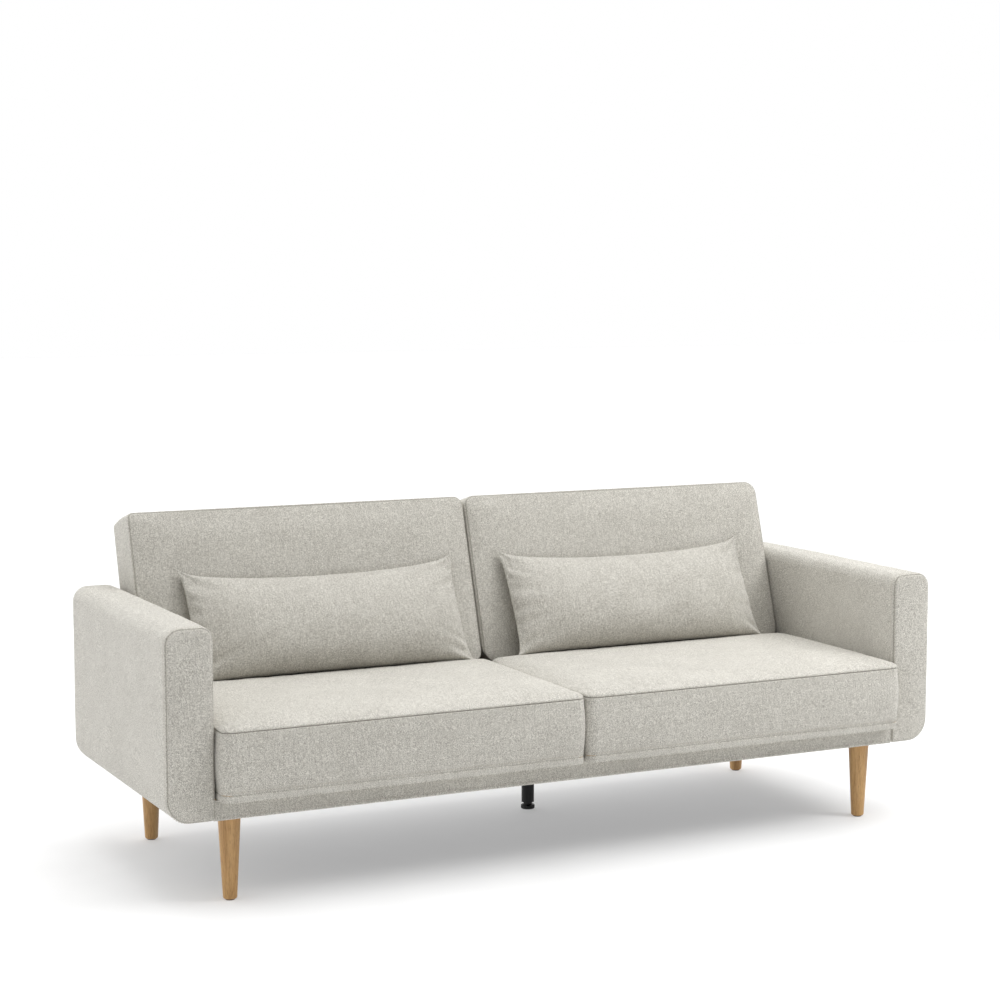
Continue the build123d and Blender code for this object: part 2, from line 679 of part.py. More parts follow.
# ---- the parts ----
def make_base():
    x_span = (-ARM_INNER, ARM_INNER)
    z_span = (FRAME_BOTTOM, FRAME_TOP)
    inner_x = ARM_INNER - RAIL
    leg_tools = leg_screws()
    hinge_tools = bracket_screws()
    bolts = both_sides(arm_bolts())
    posts = leg_bolts()
    rear_end = REAR_RAIL_Y + RAIL
    hinge_end = HINGE_RAIL_Y + HINGE_RAIL_DEPTH
    side_rail = block((-ARM_INNER, -inner_x), (FRONT_RAIL_Y + RAIL, REAR_RAIL_Y), z_span)
    side_rail = cut(side_rail, bolts + hinge_tools)
    save("base_front_rail", [block(x_span, (FRONT_RAIL_Y, FRONT_RAIL_Y + RAIL), z_span)])
    save("base_rear_rail", [block(x_span, (REAR_RAIL_Y, rear_end), z_span)])
    save("base_left_rail", [side_rail])
    save("base_right_rail", [opposite(side_rail)])
    hinge_rail = block((-inner_x, inner_x), (HINGE_RAIL_Y, hinge_end), z_span)
    save("base_hinge_rail", [cut(hinge_rail, leg_tools + hinge_tools)])
    beam_x = (-CENTRE_BEAM / 2, CENTRE_BEAM / 2)
    front_beam = block(beam_x, (FRONT_RAIL_Y + RAIL, HINGE_RAIL_Y), z_span)
    rear_beam = cut(block(beam_x, (hinge_end, REAR_RAIL_Y), z_span), hinge_tools)
    save("base_centre_beam", [front_beam, rear_beam])
    save("base_corner_blocks", [cut(item, leg_tools + posts) for item in corner_blocks()])
    save("base_rail_covers", rail_covers())
    plates = leg_plates()
    half_x, half_y = CENTRE_PLATE_HALF
    middle_y = HINGE_RAIL_Y + HINGE_RAIL_DEPTH / 2
    centre_plate = block(
        (CENTRE_LEG_X - half_x, CENTRE_LEG_X + half_x),
        (middle_y - half_y, middle_y + half_y),
        (FRAME_BOTTOM - PLATE_T, FRAME_BOTTOM),
    )
    save("dust_cover", [dust_cover(plates + [centre_plate])])
    save("leg_plates", [cut(plate, leg_tools + posts) for plate in plates])
    save("centre_leg_plate", [cut(centre_plate, leg_tools)])
    save("leg_screws", leg_tools)
    save("leg_bolts", posts)
    save("hinge_bracket_screws", hinge_tools)
    save("arm_bolts", bolts)
    save("arm_tee_nuts", both_sides(arm_tee_nuts()))


def make_legs():
    posts = leg_bolts()
    names = {
        "front_left_leg": (-LEG_X, FRONT_LEG_Y),
        "front_right_leg": (LEG_X, FRONT_LEG_Y),
        "rear_left_leg": (-LEG_X, REAR_LEG_Y),
        "rear_right_leg": (LEG_X, REAR_LEG_Y),
    }
    for name, (x, y) in names.items():
        save(name, [cut(turned_leg(x, y), posts + leg_screws())])
    save("leg_glides", [rod_z(GLIDE_R, x, y, 0.0, GLIDE_H) for x, y in leg_centres()])
    save("centre_leg_tube", [centre_tube()])
    save("centre_leg_plug", [centre_plug()])
    save("levelling_knob", [levelling_knob()])
    save("levelling_stem", [rod_z(STEM_R, CENTRE_LEG_X, CENTRE_LEG_Y, STEM_FOOT, STEM_TOP)])


def make_arms():
    bolts = arm_bolts()
    nuts = arm_tee_nuts()
    inner = arm_solid(FABRIC)
    panel = cut(arm_panel_blank(), bolts + nuts)
    foam = cut(inner, [arm_panel_blank()] + bolts + nuts)
    cover = cut(arm_solid(0.0), [inner] + bolts)
    for name, shape in (("panel", panel), ("foam", foam), ("cover", cover)):
        save(f"left_arm_{name}", [shape])
        save(f"right_arm_{name}", [opposite(shape)])


def make_seats():
    save("seat_frames", both_sides([seat_frame()]))
    save("seat_webbing", both_sides(seat_webbing()))
    foam = seat_foam()
    cover = seat_cover()
    for name, shape in (("foam", foam), ("cover", cover)):
        save(f"left_seat_{name}", [shape])
        save(f"right_seat_{name}", [opposite(shape)])


def make_brackets():
    tools = bracket_screws()
    outer = cut(outer_bracket(), tools)
    save("left_hinge_bracket", [outer])
    save("right_hinge_bracket", [opposite(outer)])
    save("centre_hinge_bracket", [cut(centre_bracket(), tools)])


def make_backs():
    pins = hinge_pins()
    screws = back_screws()
    arms = [cut(arm, pins + screws) for arm in hinge_arms()]
    solid_arms = hinge_arms()
    frame = back_frame()
    inside = back_body(FABRIC)
    cover = cut(back_body(0.0), [inside] + solid_arms + screws)
    front_half = block((-ARM_INNER, 0.0), (-BACK_THICKNESS, FOAM_REAR_Y), (-BACK_THICKNESS, BACK_LENGTH))
    foam = cut(inside & front_half, solid_arms + screws)
    pieces = {
        "back_frame": [cut(frame, screws)],
        "back_webbing": back_webbing(),
        "back_foam": [foam],
        "back_cover": [cover],
        "back_screws": screws,
        "hinge_arms": arms,
        "hinge_pins": pins,
        "pawl": [pawl()],
    }
    for name, shapes in pieces.items():
        placed = [reclined(shape) for shape in shapes]
        save(f"left_{name}", placed)
        save(f"right_{name}", [opposite(shape) for shape in placed])


def make_pillows():
    filling = pillow_solid(PILLOW_SKIN)
    cover = pillow_solid(0.0) - filling
    for name, shape in (("cover", cover), ("filling", filling)):
        save(f"left_pillow_{name}", [shape])
        save(f"right_pillow_{name}", [opposite(shape)])


make_base()
make_legs()
make_arms()
make_seats()
make_brackets()
make_backs()
make_pillows()
print("depth", round(DEPTH, 2), "arm front", round(ARM_FRONT, 2), "pivot", round(PIVOT_Y, 2), PIVOT_Z)
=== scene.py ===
"""Looks for the click-clack sofa bed: upholstery, pillows, legs, stage, light and camera.

Everything is in metres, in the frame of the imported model: +X right, +Y back, +Z up, origin on the floor.
"""

import json
import math

import bmesh
import bpy
import numpy as np
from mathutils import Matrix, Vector


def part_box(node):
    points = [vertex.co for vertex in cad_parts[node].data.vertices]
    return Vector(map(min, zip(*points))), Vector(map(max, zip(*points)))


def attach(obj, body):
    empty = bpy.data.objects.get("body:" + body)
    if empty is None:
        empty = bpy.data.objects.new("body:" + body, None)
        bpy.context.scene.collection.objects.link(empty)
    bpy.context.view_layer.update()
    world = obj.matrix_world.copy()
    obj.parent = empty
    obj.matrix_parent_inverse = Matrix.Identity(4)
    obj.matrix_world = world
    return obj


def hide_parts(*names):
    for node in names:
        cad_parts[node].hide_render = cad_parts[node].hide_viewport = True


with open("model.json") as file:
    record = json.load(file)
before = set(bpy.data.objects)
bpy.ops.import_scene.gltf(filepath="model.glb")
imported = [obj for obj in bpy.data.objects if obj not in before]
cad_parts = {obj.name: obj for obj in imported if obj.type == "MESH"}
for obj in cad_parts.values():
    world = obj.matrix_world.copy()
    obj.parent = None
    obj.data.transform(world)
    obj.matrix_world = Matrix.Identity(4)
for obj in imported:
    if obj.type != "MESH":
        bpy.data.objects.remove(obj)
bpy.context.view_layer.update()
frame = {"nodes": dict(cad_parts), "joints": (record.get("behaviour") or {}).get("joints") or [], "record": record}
NODES = frame["nodes"]
HINGE = next(j for j in frame["joints"] if j["name"] == "left_back_recline")
PIVOT = Vector(HINGE["pos_m"])
RECLINE = math.radians(17.0)
SIDES = {"left": -1.0, "right": 1.0}


# ---- mesh helpers ----
def add_object(name, data):
    """A new object in the scene for a mesh, lamp or camera."""
    obj = bpy.data.objects.new(name, data)
    bpy.context.scene.collection.objects.link(obj)
    return obj


def mesh_object(name, verts, faces, material):
    """A new smooth mesh object from vertex and face lists."""
    mesh = bpy.data.meshes.new(name)
    mesh.from_pydata([tuple(v) for v in verts], [], [tuple(f) for f in faces])
    mesh.validate()
    mesh.update()
    mesh.materials.append(material)
    mesh.polygons.foreach_set("use_smooth", [True] * len(mesh.polygons))
    return add_object(name, mesh)


def coords(obj):
    """The vertex positions of a mesh as an array."""
    out = np.zeros(len(obj.data.vertices) * 3)
    obj.data.vertices.foreach_get("co", out)
    return out.reshape(-1, 3)


def set_coords(obj, points):
    obj.data.vertices.foreach_set("co", np.asarray(points, float).ravel())
    obj.data.update()


def smoothstep(t):
    t = np.clip(t, 0.0, 1.0)
    return t * t * (3.0 - 2.0 * t)


def fade(t, power):
    """1 in the middle and 0 where t is -1 or 1: the higher the power, the later it falls."""
    return np.clip(1 - np.abs(t) ** power, 0, 1)


def soft_noise(points, scale, seed):
    """Smooth, repeatable noise between about -1 and 1, one value for each point."""
    rng = np.random.default_rng(seed)
    total = np.zeros(len(points))
    weight = 1.0
    for _ in range(2):
        for _ in range(6):
            direction = rng.normal(size=3)
            direction /= np.linalg.norm(direction)
            wave = rng.uniform(0.6, 1.5) / scale
            total += weight * np.sin(points @ direction * wave * 2 * math.pi + rng.uniform(0, 2 * math.pi))
        scale *= 0.5
        weight *= 0.5
    return total / 5.0


ARC_STEPS = 5
SPACING = 0.012
SMALLEST_RADIUS = 0.003


def unit(angle):
    return np.array([math.cos(angle), math.sin(angle)])


def eighth_turn(centre, radius, start):
    """Points round an eighth of a turn from the start angle, without the last one."""
    return [centre + radius * unit(start + math.pi / 4 * k / ARC_STEPS) for k in range(ARC_STEPS)]


class Section:
    """A rounded rectangle centred on 0, always drawn with the same number of points round it.

    Radii go by corner: low left, low right, high right, high left. across and up count the straight steps.
    """

    def __init__(self, half, radii, spacing=SPACING):
        self.half = half
        self.radii = radii
        self.across = max(2, int(2 * half[0] / spacing))
        self.up = max(2, int(2 * half[1] / spacing))
        self.nu = self.across + 2 * ARC_STEPS
        self.nv = self.up + 2 * ARC_STEPS

    def ring(self, inset=0.0):
        """The outline moved inwards by inset, from the middle of the low left corner, anticlockwise."""
        hx, hy = self.half[0] - inset, self.half[1] - inset
        radii = [min(max(r - inset, SMALLEST_RADIUS), hx * 0.98, hy * 0.98) for r in self.radii]
        signs = [(-1, -1), (1, -1), (1, 1), (-1, 1)]
        centres = [np.array([sx * (hx - r), sy * (hy - r)]) for (sx, sy), r in zip(signs, radii)]
        points = []
        for side in range(4):
            following = (side + 1) % 4
            mid = math.pi * 1.25 + side * math.pi / 2
            turned = mid + math.pi / 4
            start = centres[side] + radii[side] * unit(turned)
            end = centres[following] + radii[following] * unit(turned)
            count = self.across if side % 2 == 0 else self.up
            points += eighth_turn(centres[side], radii[side], mid)
            points += [start + (end - start) * k / count for k in range(count)]
            points += eighth_turn(centres[following], radii[following], turned)
        return np.array(points)

    def outward(self):
        """The direction out of the outline at every point of a ring."""
        ring = self.ring()
        run = np.roll(ring, -1, axis=0) - np.roll(ring, 1, axis=0)
        out = np.column_stack([run[:, 1], -run[:, 0]])
        return out / np.linalg.norm(out, axis=1, keepdims=True)


def level(plan, z):
    """Plan points in X and Y as 3-D points at height z."""
    return np.column_stack([plan, np.full(len(plan), z)])


def upright(outline, y):
    """Outline points in X and Z as 3-D points at depth y."""
    return np.column_stack([outline[:, 0], np.full(len(outline), y), outline[:, 1]])


def patch(ring, nu, nv):
    """A smooth sheet of points filling a ring of 3-D points, as an array of (nu + 1) by (nv + 1)."""
    low = ring[:nu + 1]
    right = ring[nu:nu + nv + 1]
    high = ring[nu + nv:2 * nu + nv + 1][::-1]
    left = np.vstack([ring[2 * nu + nv:], ring[:1]])[::-1]
    along = np.linalg.norm(np.diff(low, axis=0), axis=1) + np.linalg.norm(np.diff(high, axis=0), axis=1)
    upward = np.linalg.norm(np.diff(left, axis=0), axis=1) + np.linalg.norm(np.diff(right, axis=0), axis=1)
    u = (np.concatenate([[0.0], np.cumsum(along)]) / along.sum())[:, None, None]
    v = (np.concatenate([[0.0], np.cumsum(upward)]) / upward.sum())[None, :, None]
    sides = (1 - v) * low[:, None] + v * high[:, None] + (1 - u) * left[None] + u * right[None]
    corners = (1 - u) * (1 - v) * low[0] + u * (1 - v) * low[-1] + (1 - u) * v * high[0] + u * v * high[-1]
    return sides - corners


def joined_rings(rings):
    """Quads between equal rings whose points are numbered one ring after another."""
    count = len(rings[0])
    faces = []
    for r in range(len(rings) - 1):
        a, b = r * count, (r + 1) * count
        for k in range(count):
            n = (k + 1) % count
            faces.append((a + k, a + n, b + n, b + k))
    return faces


def patch_index(nu, nv, base, first_new):
    """The vertex number at every place of a patch: its rim is the ring from base, its inside is new."""
    index = np.zeros((nu + 1, nv + 1), int)
    index[1:nu, 1:nv] = first_new + np.arange((nu - 1) * (nv - 1)).reshape(nu - 1, nv - 1)
    index[0, 1:] = base + 2 * nu + nv + np.arange(nv - 1, -1, -1)
    index[:, nv] = base + nu + nv + np.arange(nu, -1, -1)
    index[nu, :] = base + nu + np.arange(nv + 1)
    index[:, 0] = base + np.arange(nu + 1)
    return index


def loft(rings, section):
    """A closed skin: quads between equal rings, and a patch over the first and the last ring."""
    verts = list(np.concatenate(rings))
    faces = joined_rings(rings)
    nu, nv = section.nu, section.nv
    last_base = len(verts) - len(rings[-1])
    for base, ring in ((0, rings[0]), (last_base, rings[-1])):
        grid = patch(np.asarray(ring), nu, nv)
        index = patch_index(nu, nv, base, len(verts))
        verts += list(grid[1:nu, 1:nv].reshape(-1, 3))
        for i in range(nu):
            for j in range(nv):
                faces.append((index[i, j], index[i + 1, j], index[i + 1, j + 1], index[i, j + 1]))
    return np.array(verts), faces


def face_outwards(obj):
    """Turns every face of a closed mesh outwards and keeps it smooth."""
    bm = bmesh.new()
    bm.from_mesh(obj.data)
    bmesh.ops.recalc_face_normals(bm, faces=bm.faces)
    bm.to_mesh(obj.data)
    bm.free()
    obj.data.polygons.foreach_set("use_smooth", [True] * len(obj.data.polygons))


def subdivide(obj):
    modifier = obj.modifiers.new("smooth", "SUBSURF")
    modifier.levels = 1
    modifier.render_levels = 1


# ---- cloth ----
CLOTH_STIFFNESS = 15.0
LEAST_WEIGHT = 0.001


def cloth_modifier(obj, pressure, frames, shrink, bending):
    """A closed cloth under pressure, without weight or collisions, held by the vertex group "held"."""
    modifier = obj.modifiers.new("cloth", "CLOTH")
    cloth = modifier.settings
    cloth.quality = 5
    cloth.mass = 0.3
    cloth.tension_stiffness = CLOTH_STIFFNESS
    cloth.compression_stiffness = CLOTH_STIFFNESS
    cloth.shear_stiffness = CLOTH_STIFFNESS * 0.5
    cloth.bending_stiffness = bending
    cloth.use_pressure = True
    cloth.uniform_pressure_force = pressure
    cloth.vertex_group_mass = "held"
    cloth.pin_stiffness = 1.0
    cloth.shrink_min = shrink
    cloth.effector_weights.gravity = 0.0
    modifier.collision_settings.use_collision = False
    modifier.point_cache.frame_start = 1
    modifier.point_cache.frame_end = frames
    return modifier


def blow_up(obj, held, pressure, frames, shrink, bending):
    """Runs the cloth solver on a closed mesh and returns where its points end.

    held is a weight for each vertex: 1 stays where it is, 0 is free.
    """
    group = obj.vertex_groups.new(name="held")
    for index, weight in enumerate(held):
        if weight > LEAST_WEIGHT:
            group.add([index], float(weight), "REPLACE")
    modifier = cloth_modifier(obj, pressure, frames, shrink, bending)
    scene = bpy.context.scene
    for step in range(1, frames + 1):
        scene.frame_set(step)
    evaluated = obj.evaluated_get(bpy.context.evaluated_depsgraph_get())
    out = np.zeros(len(evaluated.data.vertices) * 3)
    evaluated.data.vertices.foreach_get("co", out)
    obj.modifiers.remove(modifier)
    obj.vertex_groups.clear()
    scene.frame_set(1)
    return out.reshape(-1, 3)


def capped(before, after, cap):
    """after, with no point more than about cap from before."""
    move = after - before
    length = np.linalg.norm(move, axis=1, keepdims=True)
    return before + move * cap * np.tanh(length / cap) / np.maximum(length, 1e-9)


# ---- materials ----
class Net:
    """Short calls for building a node tree."""

    def __init__(self, material):
        self.tree = material.node_tree

    def link(self, source, target):
        self.tree.links.new(source, target)

    def node(self, kind, **settings):
        node = self.tree.nodes.new(kind)
        for key, value in settings.items():
            setattr(node, key, value)
        return node

    def feed(self, socket, value):
        if isinstance(value, bpy.types.NodeSocket):
            self.link(value, socket)
        else:
            socket.default_value = value

    def math(self, operation, *values):
        node = self.node("ShaderNodeMath", operation=operation)
        for index, value in enumerate(values):
            self.feed(node.inputs[index], value)
        return node.outputs[0]

    def plus(self, a, b):
        return self.math("ADD", a, b)

    def times(self, a, b):
        return self.math("MULTIPLY", a, b)

    def mix(self, factor, a, b):
        node = self.node("ShaderNodeMix", data_type="FLOAT")
        self.feed(node.inputs[0], factor)
        self.feed(node.inputs[2], a)
        self.feed(node.inputs[3], b)
        return node.outputs[0]

    def multiply_color(self, factor, a, b):
        node = self.node("ShaderNodeMix", data_type="RGBA", blend_type="MULTIPLY")
        self.feed(node.inputs[0], factor)
        self.feed(node.inputs[6], a)
        self.feed(node.inputs[7], b)
        return node.outputs[2]

    def vector(self, x, y, z):
        node = self.node("ShaderNodeCombineXYZ")
        for socket, value in zip(node.inputs, (x, y, z)):
            self.feed(socket, value)
        return node.outputs[0]

    def split(self, vector):
        node = self.node("ShaderNodeSeparateXYZ")
        self.link(vector, node.inputs[0])
        return node.outputs

    def noise(self, vector, scale, detail=2.0, roughness=0.5):
        node = self.node("ShaderNodeTexNoise")
        self.link(vector, node.inputs["Vector"])
        node.inputs["Scale"].default_value = scale
        node.inputs["Detail"].default_value = detail
        node.inputs["Roughness"].default_value = roughness
        return node.outputs["Fac"]

    def ramp(self, factor, stops):
        node = self.node("ShaderNodeValToRGB")
        self.link(factor, node.inputs[0])
        elements = node.color_ramp.elements
        while len(elements) < len(stops):
            elements.new(0.5)
        for element, (place, colour) in zip(elements, stops):
            element.position = place
            element.color = colour
        return node.outputs["Color"]

    def paint(self, shader, colour, roughness, height, strength, distance):
        """Joins a colour, a roughness and a bump of the given height to a shader."""
        bump = self.node("ShaderNodeBump")
        bump.inputs["Strength"].default_value = strength
        bump.inputs["Distance"].default_value = distance
        self.link(height, bump.inputs["Height"])
        self.link(colour, shader.inputs["Base Color"])
        self.link(roughness, shader.inputs["Roughness"])
        self.link(bump.outputs["Normal"], shader.inputs["Normal"])

    def object_position(self):
        return self.node("ShaderNodeTexCoord").outputs["Object"]

    def object_normal(self):
        return self.node("ShaderNodeTexCoord").outputs["Normal"]


def new_material(name):
    """A material, its principled shader and the calls that build the rest of its tree."""
    material = bpy.data.materials.new(name)
    material.use_nodes = True
    material.node_tree.nodes.clear()
    net = Net(material)
    shader = net.node("ShaderNodeBsdfPrincipled")
    net.link(shader.outputs["BSDF"], net.node("ShaderNodeOutputMaterial").inputs["Surface"])
    return material, shader, net


def linear(*srgb):
    """An sRGB colour in 0..255 as linear RGBA."""
    out = [(c / 255 / 12.92) if c / 255 <= 0.04045 else ((c / 255 + 0.055) / 1.055) ** 2.4 for c in srgb]
    return (*out, 1.0)


THREAD_WIDTH = 0.0013


def cloth_axes(net, position, seed):
    """The two directions of the threads and a number for the layer, from which way the surface faces."""
    x, y, z = net.split(position)
    ax, ay, az = (net.math("ABSOLUTE", n) for n in net.split(net.object_normal()))
    faces_x = net.math("GREATER_THAN", ax, net.math("MAXIMUM", ay, az))
    faces_z = net.math("GREATER_THAN", az, net.math("MAXIMUM", ax, ay))
    across = net.mix(faces_x, x, y)
    along = net.mix(faces_z, z, y)
    layer = net.times(faces_x, 3.7)
    layer = net.plus(layer, net.plus(net.times(faces_z, 7.3), seed))
    return across, along, layer


def plain_weave(net, across, along):
    """Height of a plain weave, and 1 where the weft lies on top."""
    warp = net.math("DIVIDE", across, THREAD_WIDTH)
    weft = net.math("DIVIDE", along, THREAD_WIDTH)
    warp_wave = net.math("ABSOLUTE", net.math("SINE", net.times(warp, math.pi)))
    weft_wave = net.math("ABSOLUTE", net.math("SINE", net.times(weft, math.pi)))
    cell = net.plus(net.math("FLOOR", warp), net.math("FLOOR", weft))
    over = net.math("ABSOLUTE", net.math("MODULO", cell, 2.0))
    return net.mix(over, warp_wave, weft_wave), over


def slubs(net, across, along, layer):
    """Thick and thin places that run a long way along a thread and not far across it."""
    stretched = net.vector(net.times(across, 470.0), net.times(along, 55.0), layer)
    return net.noise(stretched, 1.0, detail=1.0)


def heather(net, position, across, along, layer, over):
    """Tone of the yarn: slubs, flecks, a finer grain and broad faint patches."""
    slub_warp = slubs(net, across, along, layer)
    slub_weft = slubs(net, along, across, layer)
    broad = net.math("SUBTRACT", net.noise(position, 9.0, detail=3.0), 0.5)
    tone = net.times(net.mix(over, slub_warp, slub_weft), 0.11)
    shares = (
        (slub_warp, 0.07),
        (net.noise(position, 600.0, detail=0.0), 0.40),
        (net.noise(position, 1000.0, detail=0.0), 0.42),
        (broad, 0.06),
    )
    for value, share in shares:
        tone = net.plus(tone, net.times(value, share))
    return tone


def woven_fabric(name, dark, light, seed=0.37):
    """A heathered plain weave that needs no UVs: it picks its two axes from the surface's own direction."""
    material, shader, net = new_material(name)
    position = net.object_position()
    across, along, layer = cloth_axes(net, position, seed)
    weave, over = plain_weave(net, across, along)
    tone = heather(net, position, across, along, layer, over)
    colour = net.ramp(tone, [(0.42, dark), (0.58, light)])
    shade = net.mix(0.16, 1.0, weave)
    colour = net.multiply_color(1.0, colour, net.vector(shade, shade, shade))
    height = net.plus(weave, net.times(tone, 1.2))
    net.paint(shader, colour, net.mix(weave, 0.96, 0.84), height, 0.45, 0.0006)
    shader.inputs["Sheen Weight"].default_value = 0.25
    shader.inputs["Sheen Roughness"].default_value = 0.5
    shader.inputs["Specular IOR Level"].default_value = 0.15
    return material


def leg_wood(name):
    """Pale oak-coloured timber with its grain running up the leg."""
    material, shader, net = new_material(name)
    x, y, z = net.split(net.object_position())
    stretched = net.vector(x, y, net.times(z, 0.06))
    broad = net.noise(stretched, 60.0, detail=4.0, roughness=0.6)
    fine = net.noise(stretched, 420.0, detail=3.0, roughness=0.7)
    pores = net.noise(net.vector(x, y, net.times(z, 0.03)), 900.0, detail=1.0)
    tone = net.plus(net.times(broad, 0.6), net.times(fine, 0.4))
    shades = [(0.30, linear(148, 105, 56)), (0.50, linear(188, 145, 88)), (0.72, linear(214, 174, 118))]
    colour = net.ramp(tone, shades)
    dark_pores = net.ramp(pores, [(0.30, linear(150, 120, 90)), (0.42, linear(255, 255, 255))])
    colour = net.multiply_color(0.5, colour, dark_pores)
    net.paint(shader, colour, net.mix(tone, 0.52, 0.36), net.plus(fine, pores), 0.15, 0.0004)
    shader.inputs["Coat Weight"].default_value = 0.15
    shader.inputs["Coat Roughness"].default_value = 0.3
    return material


def sawn_timber(name):
    """Plain softwood for the hidden frame."""
    material, shader, net = new_material(name)
    x, y, z = net.split(net.object_position())
    stretched = net.vector(net.times(x, 0.08), y, z)
    grain = net.noise(stretched, 120.0, detail=5.0, roughness=0.65)
    colour = net.ramp(grain, [(0.3, linear(176, 138, 92)), (0.7, linear(222, 190, 140))])
    net.paint(shader, colour, net.mix(grain, 0.85, 0.65), grain, 0.3, 0.001)
    return material


def metal(name, colour, roughness, metallic):
    """A metal or coated metal with a fine uneven surface."""
    material, shader, net = new_material(name)
    position = net.object_position()
    fine = net.noise(position, 900.0)
    wear = net.noise(position, 35.0, detail=4.0)
    darker = tuple(c * 0.75 for c in colour[:3]) + (1.0,)
    worn = net.ramp(wear, [(0.35, darker), (0.65, colour)])
    rough = net.mix(wear, roughness * 0.85, min(1.0, roughness * 1.2))
    net.paint(shader, worn, rough, fine, 0.12, 0.0003)
    shader.inputs["Metallic"].default_value = metallic
    return material


def plain_cloth(name, dark, light, scale=700.0):
    """Non-woven cloth, foam or webbing: a felted fine grain."""
    material, shader, net = new_material(name)
    position = net.object_position()
    fibre = net.noise(position, scale, detail=3.0, roughness=0.7)
    broad = net.noise(position, 25.0)
    tone = net.plus(net.times(fibre, 0.7), net.times(broad, 0.3))
    colour = net.ramp(tone, [(0.35, dark), (0.65, light)])
    net.paint(shader, colour, net.mix(fibre, 0.95, 0.8), fibre, 0.35, 0.0008)
    return material


UPHOLSTERY = woven_fabric("greige_weave", linear(161, 157, 148), linear(234, 231, 222))
PILLOW_CLOTH = woven_fabric("pillow_weave", linear(154, 150, 141), linear(228, 225, 216), seed=2.43)
# The next two are painted shade: darker copies of the weave for the faces at the bottom of the seam grooves,
# standing in for the shadow that falls there.
SEAT_SEAM_SHADE_CLOTH = woven_fabric("seat_seam_painted_shade_weave", linear(122, 117, 108), linear(168, 162, 152), seed=5.1)
EDGE_SEAM_SHADE_CLOTH = woven_fabric("edge_seam_painted_shade_weave", linear(150, 146, 137), linear(198, 194, 184), seed=5.1)
THREAD = plain_cloth("seam_thread", linear(168, 161, 148), linear(200, 193, 180), 1500.0)
LEG_WOOD = leg_wood("oak_leg")
TIMBER = sawn_timber("pine_frame")
BLACK_STEEL = metal("black_coated_steel", linear(38, 38, 40), 0.42, 0.35)
ZINC = metal("zinc_steel", linear(190, 190, 184), 0.35, 1.0)
BLACK_PLASTIC = metal("black_plastic", linear(34, 34, 36), 0.5, 0.0)
FOAM = plain_cloth("foam_block", linear(222, 212, 180), linear(246, 240, 214), 400.0)
FIBRE = plain_cloth("pillow_fibre", linear(225, 225, 222), linear(250, 250, 248), 300.0)
DUST_CLOTH = plain_cloth("dust_cloth", linear(24, 24, 26), linear(48, 48, 50))
WEBBING = plain_cloth("elastic_webbing", linear(40, 40, 44), linear(82, 82, 86), 500.0)

SLOT_MATERIALS = {
    "upholstery": UPHOLSTERY,
    "pillow_fabric": PILLOW_CLOTH,
    "foam": FOAM,
    "filling": FIBRE,
    "dust_cloth": DUST_CLOTH,
    "webbing": WEBBING,
    "frame_timber": TIMBER,
    "leg_wood": LEG_WOOD,
    "hinge_steel": BLACK_STEEL,
    "zinc_steel": ZINC,
    "black_plastic": BLACK_PLASTIC,
}


def dress_cad_nodes():
    """Every CAD node that stays gets the procedural material of its slot."""
    slots = {s["node"]: s["material_slot"] for s in frame["record"]["subparts"]}
    for name, obj in NODES.items():
        obj.data.materials.clear()
        obj.data.materials.append(SLOT_MATERIALS[slots[name]])


# ---- seams, the shade painted into them, and stitches ----
PANEL_EDGE = 0.026
SEAM_BOTTOM = 0.0044
GROOVE_WIDTH = 0.0021
# The face bands at the bottom of the front seam's groove, which get painted shade.
FRONT_SEAM_SHADE_BANDS = (4, 5)


def corner_seam():
    """A front panel's edge and seam, as depth and inset: a rolled lip each side of a narrow groove."""
    lip = [(0.0, 0.0115), (0.0003, 0.0070), (0.0010, 0.0052), (0.0020, 0.0042)]
    panel = [(0.0, PANEL_EDGE)] + lip
    return panel + [(SEAM_BOTTOM, SEAM_BOTTOM)] + [(inset, depth) for depth, inset in reversed(lip)]


def groove(depth):
    """Offsets from a seam's line and how far the skin is drawn in there."""
    steps = ((-1.6, 0.0), (-0.8, 0.08), (-0.35, 0.55), (0.0, 1.0), (0.35, 0.55), (0.8, 0.08), (1.6, 0.0))
    return [(step * GROOVE_WIDTH, share * depth) for step, share in steps]


def seam_bands(profile, seam):
    """The two bands of faces at the bottom of the groove that lies at the given place along a profile."""
    nearest = min(range(len(profile)), key=lambda k: abs(profile[k][0] - seam))
    return [nearest - 1, nearest]


def paint_seam_shade(obj, count, seams, cloth):
    """Paints shade into the seam grooves: the bands of faces that start at these rings get the given darker copy
    of the weave, in place of the shadow there.
    """
    obj.data.materials.append(cloth)
    index = np.zeros(len(obj.data.polygons), int)
    for ring in seams:
        index[ring * count:(ring + 1) * count] = 1
    obj.data.polygons.foreach_set("material_index", index)


STITCH_LENGTH = 0.0042
STITCH_GAP = 0.0026
STITCH_RADIUS = 0.00055
STITCH_SIDES = 5
STITCH_RINGS = ((0.0, -0.3, 0.35), (0.25, 0.5, 1.0), (0.75, 0.5, 1.0), (1.0, -0.3, 0.35))


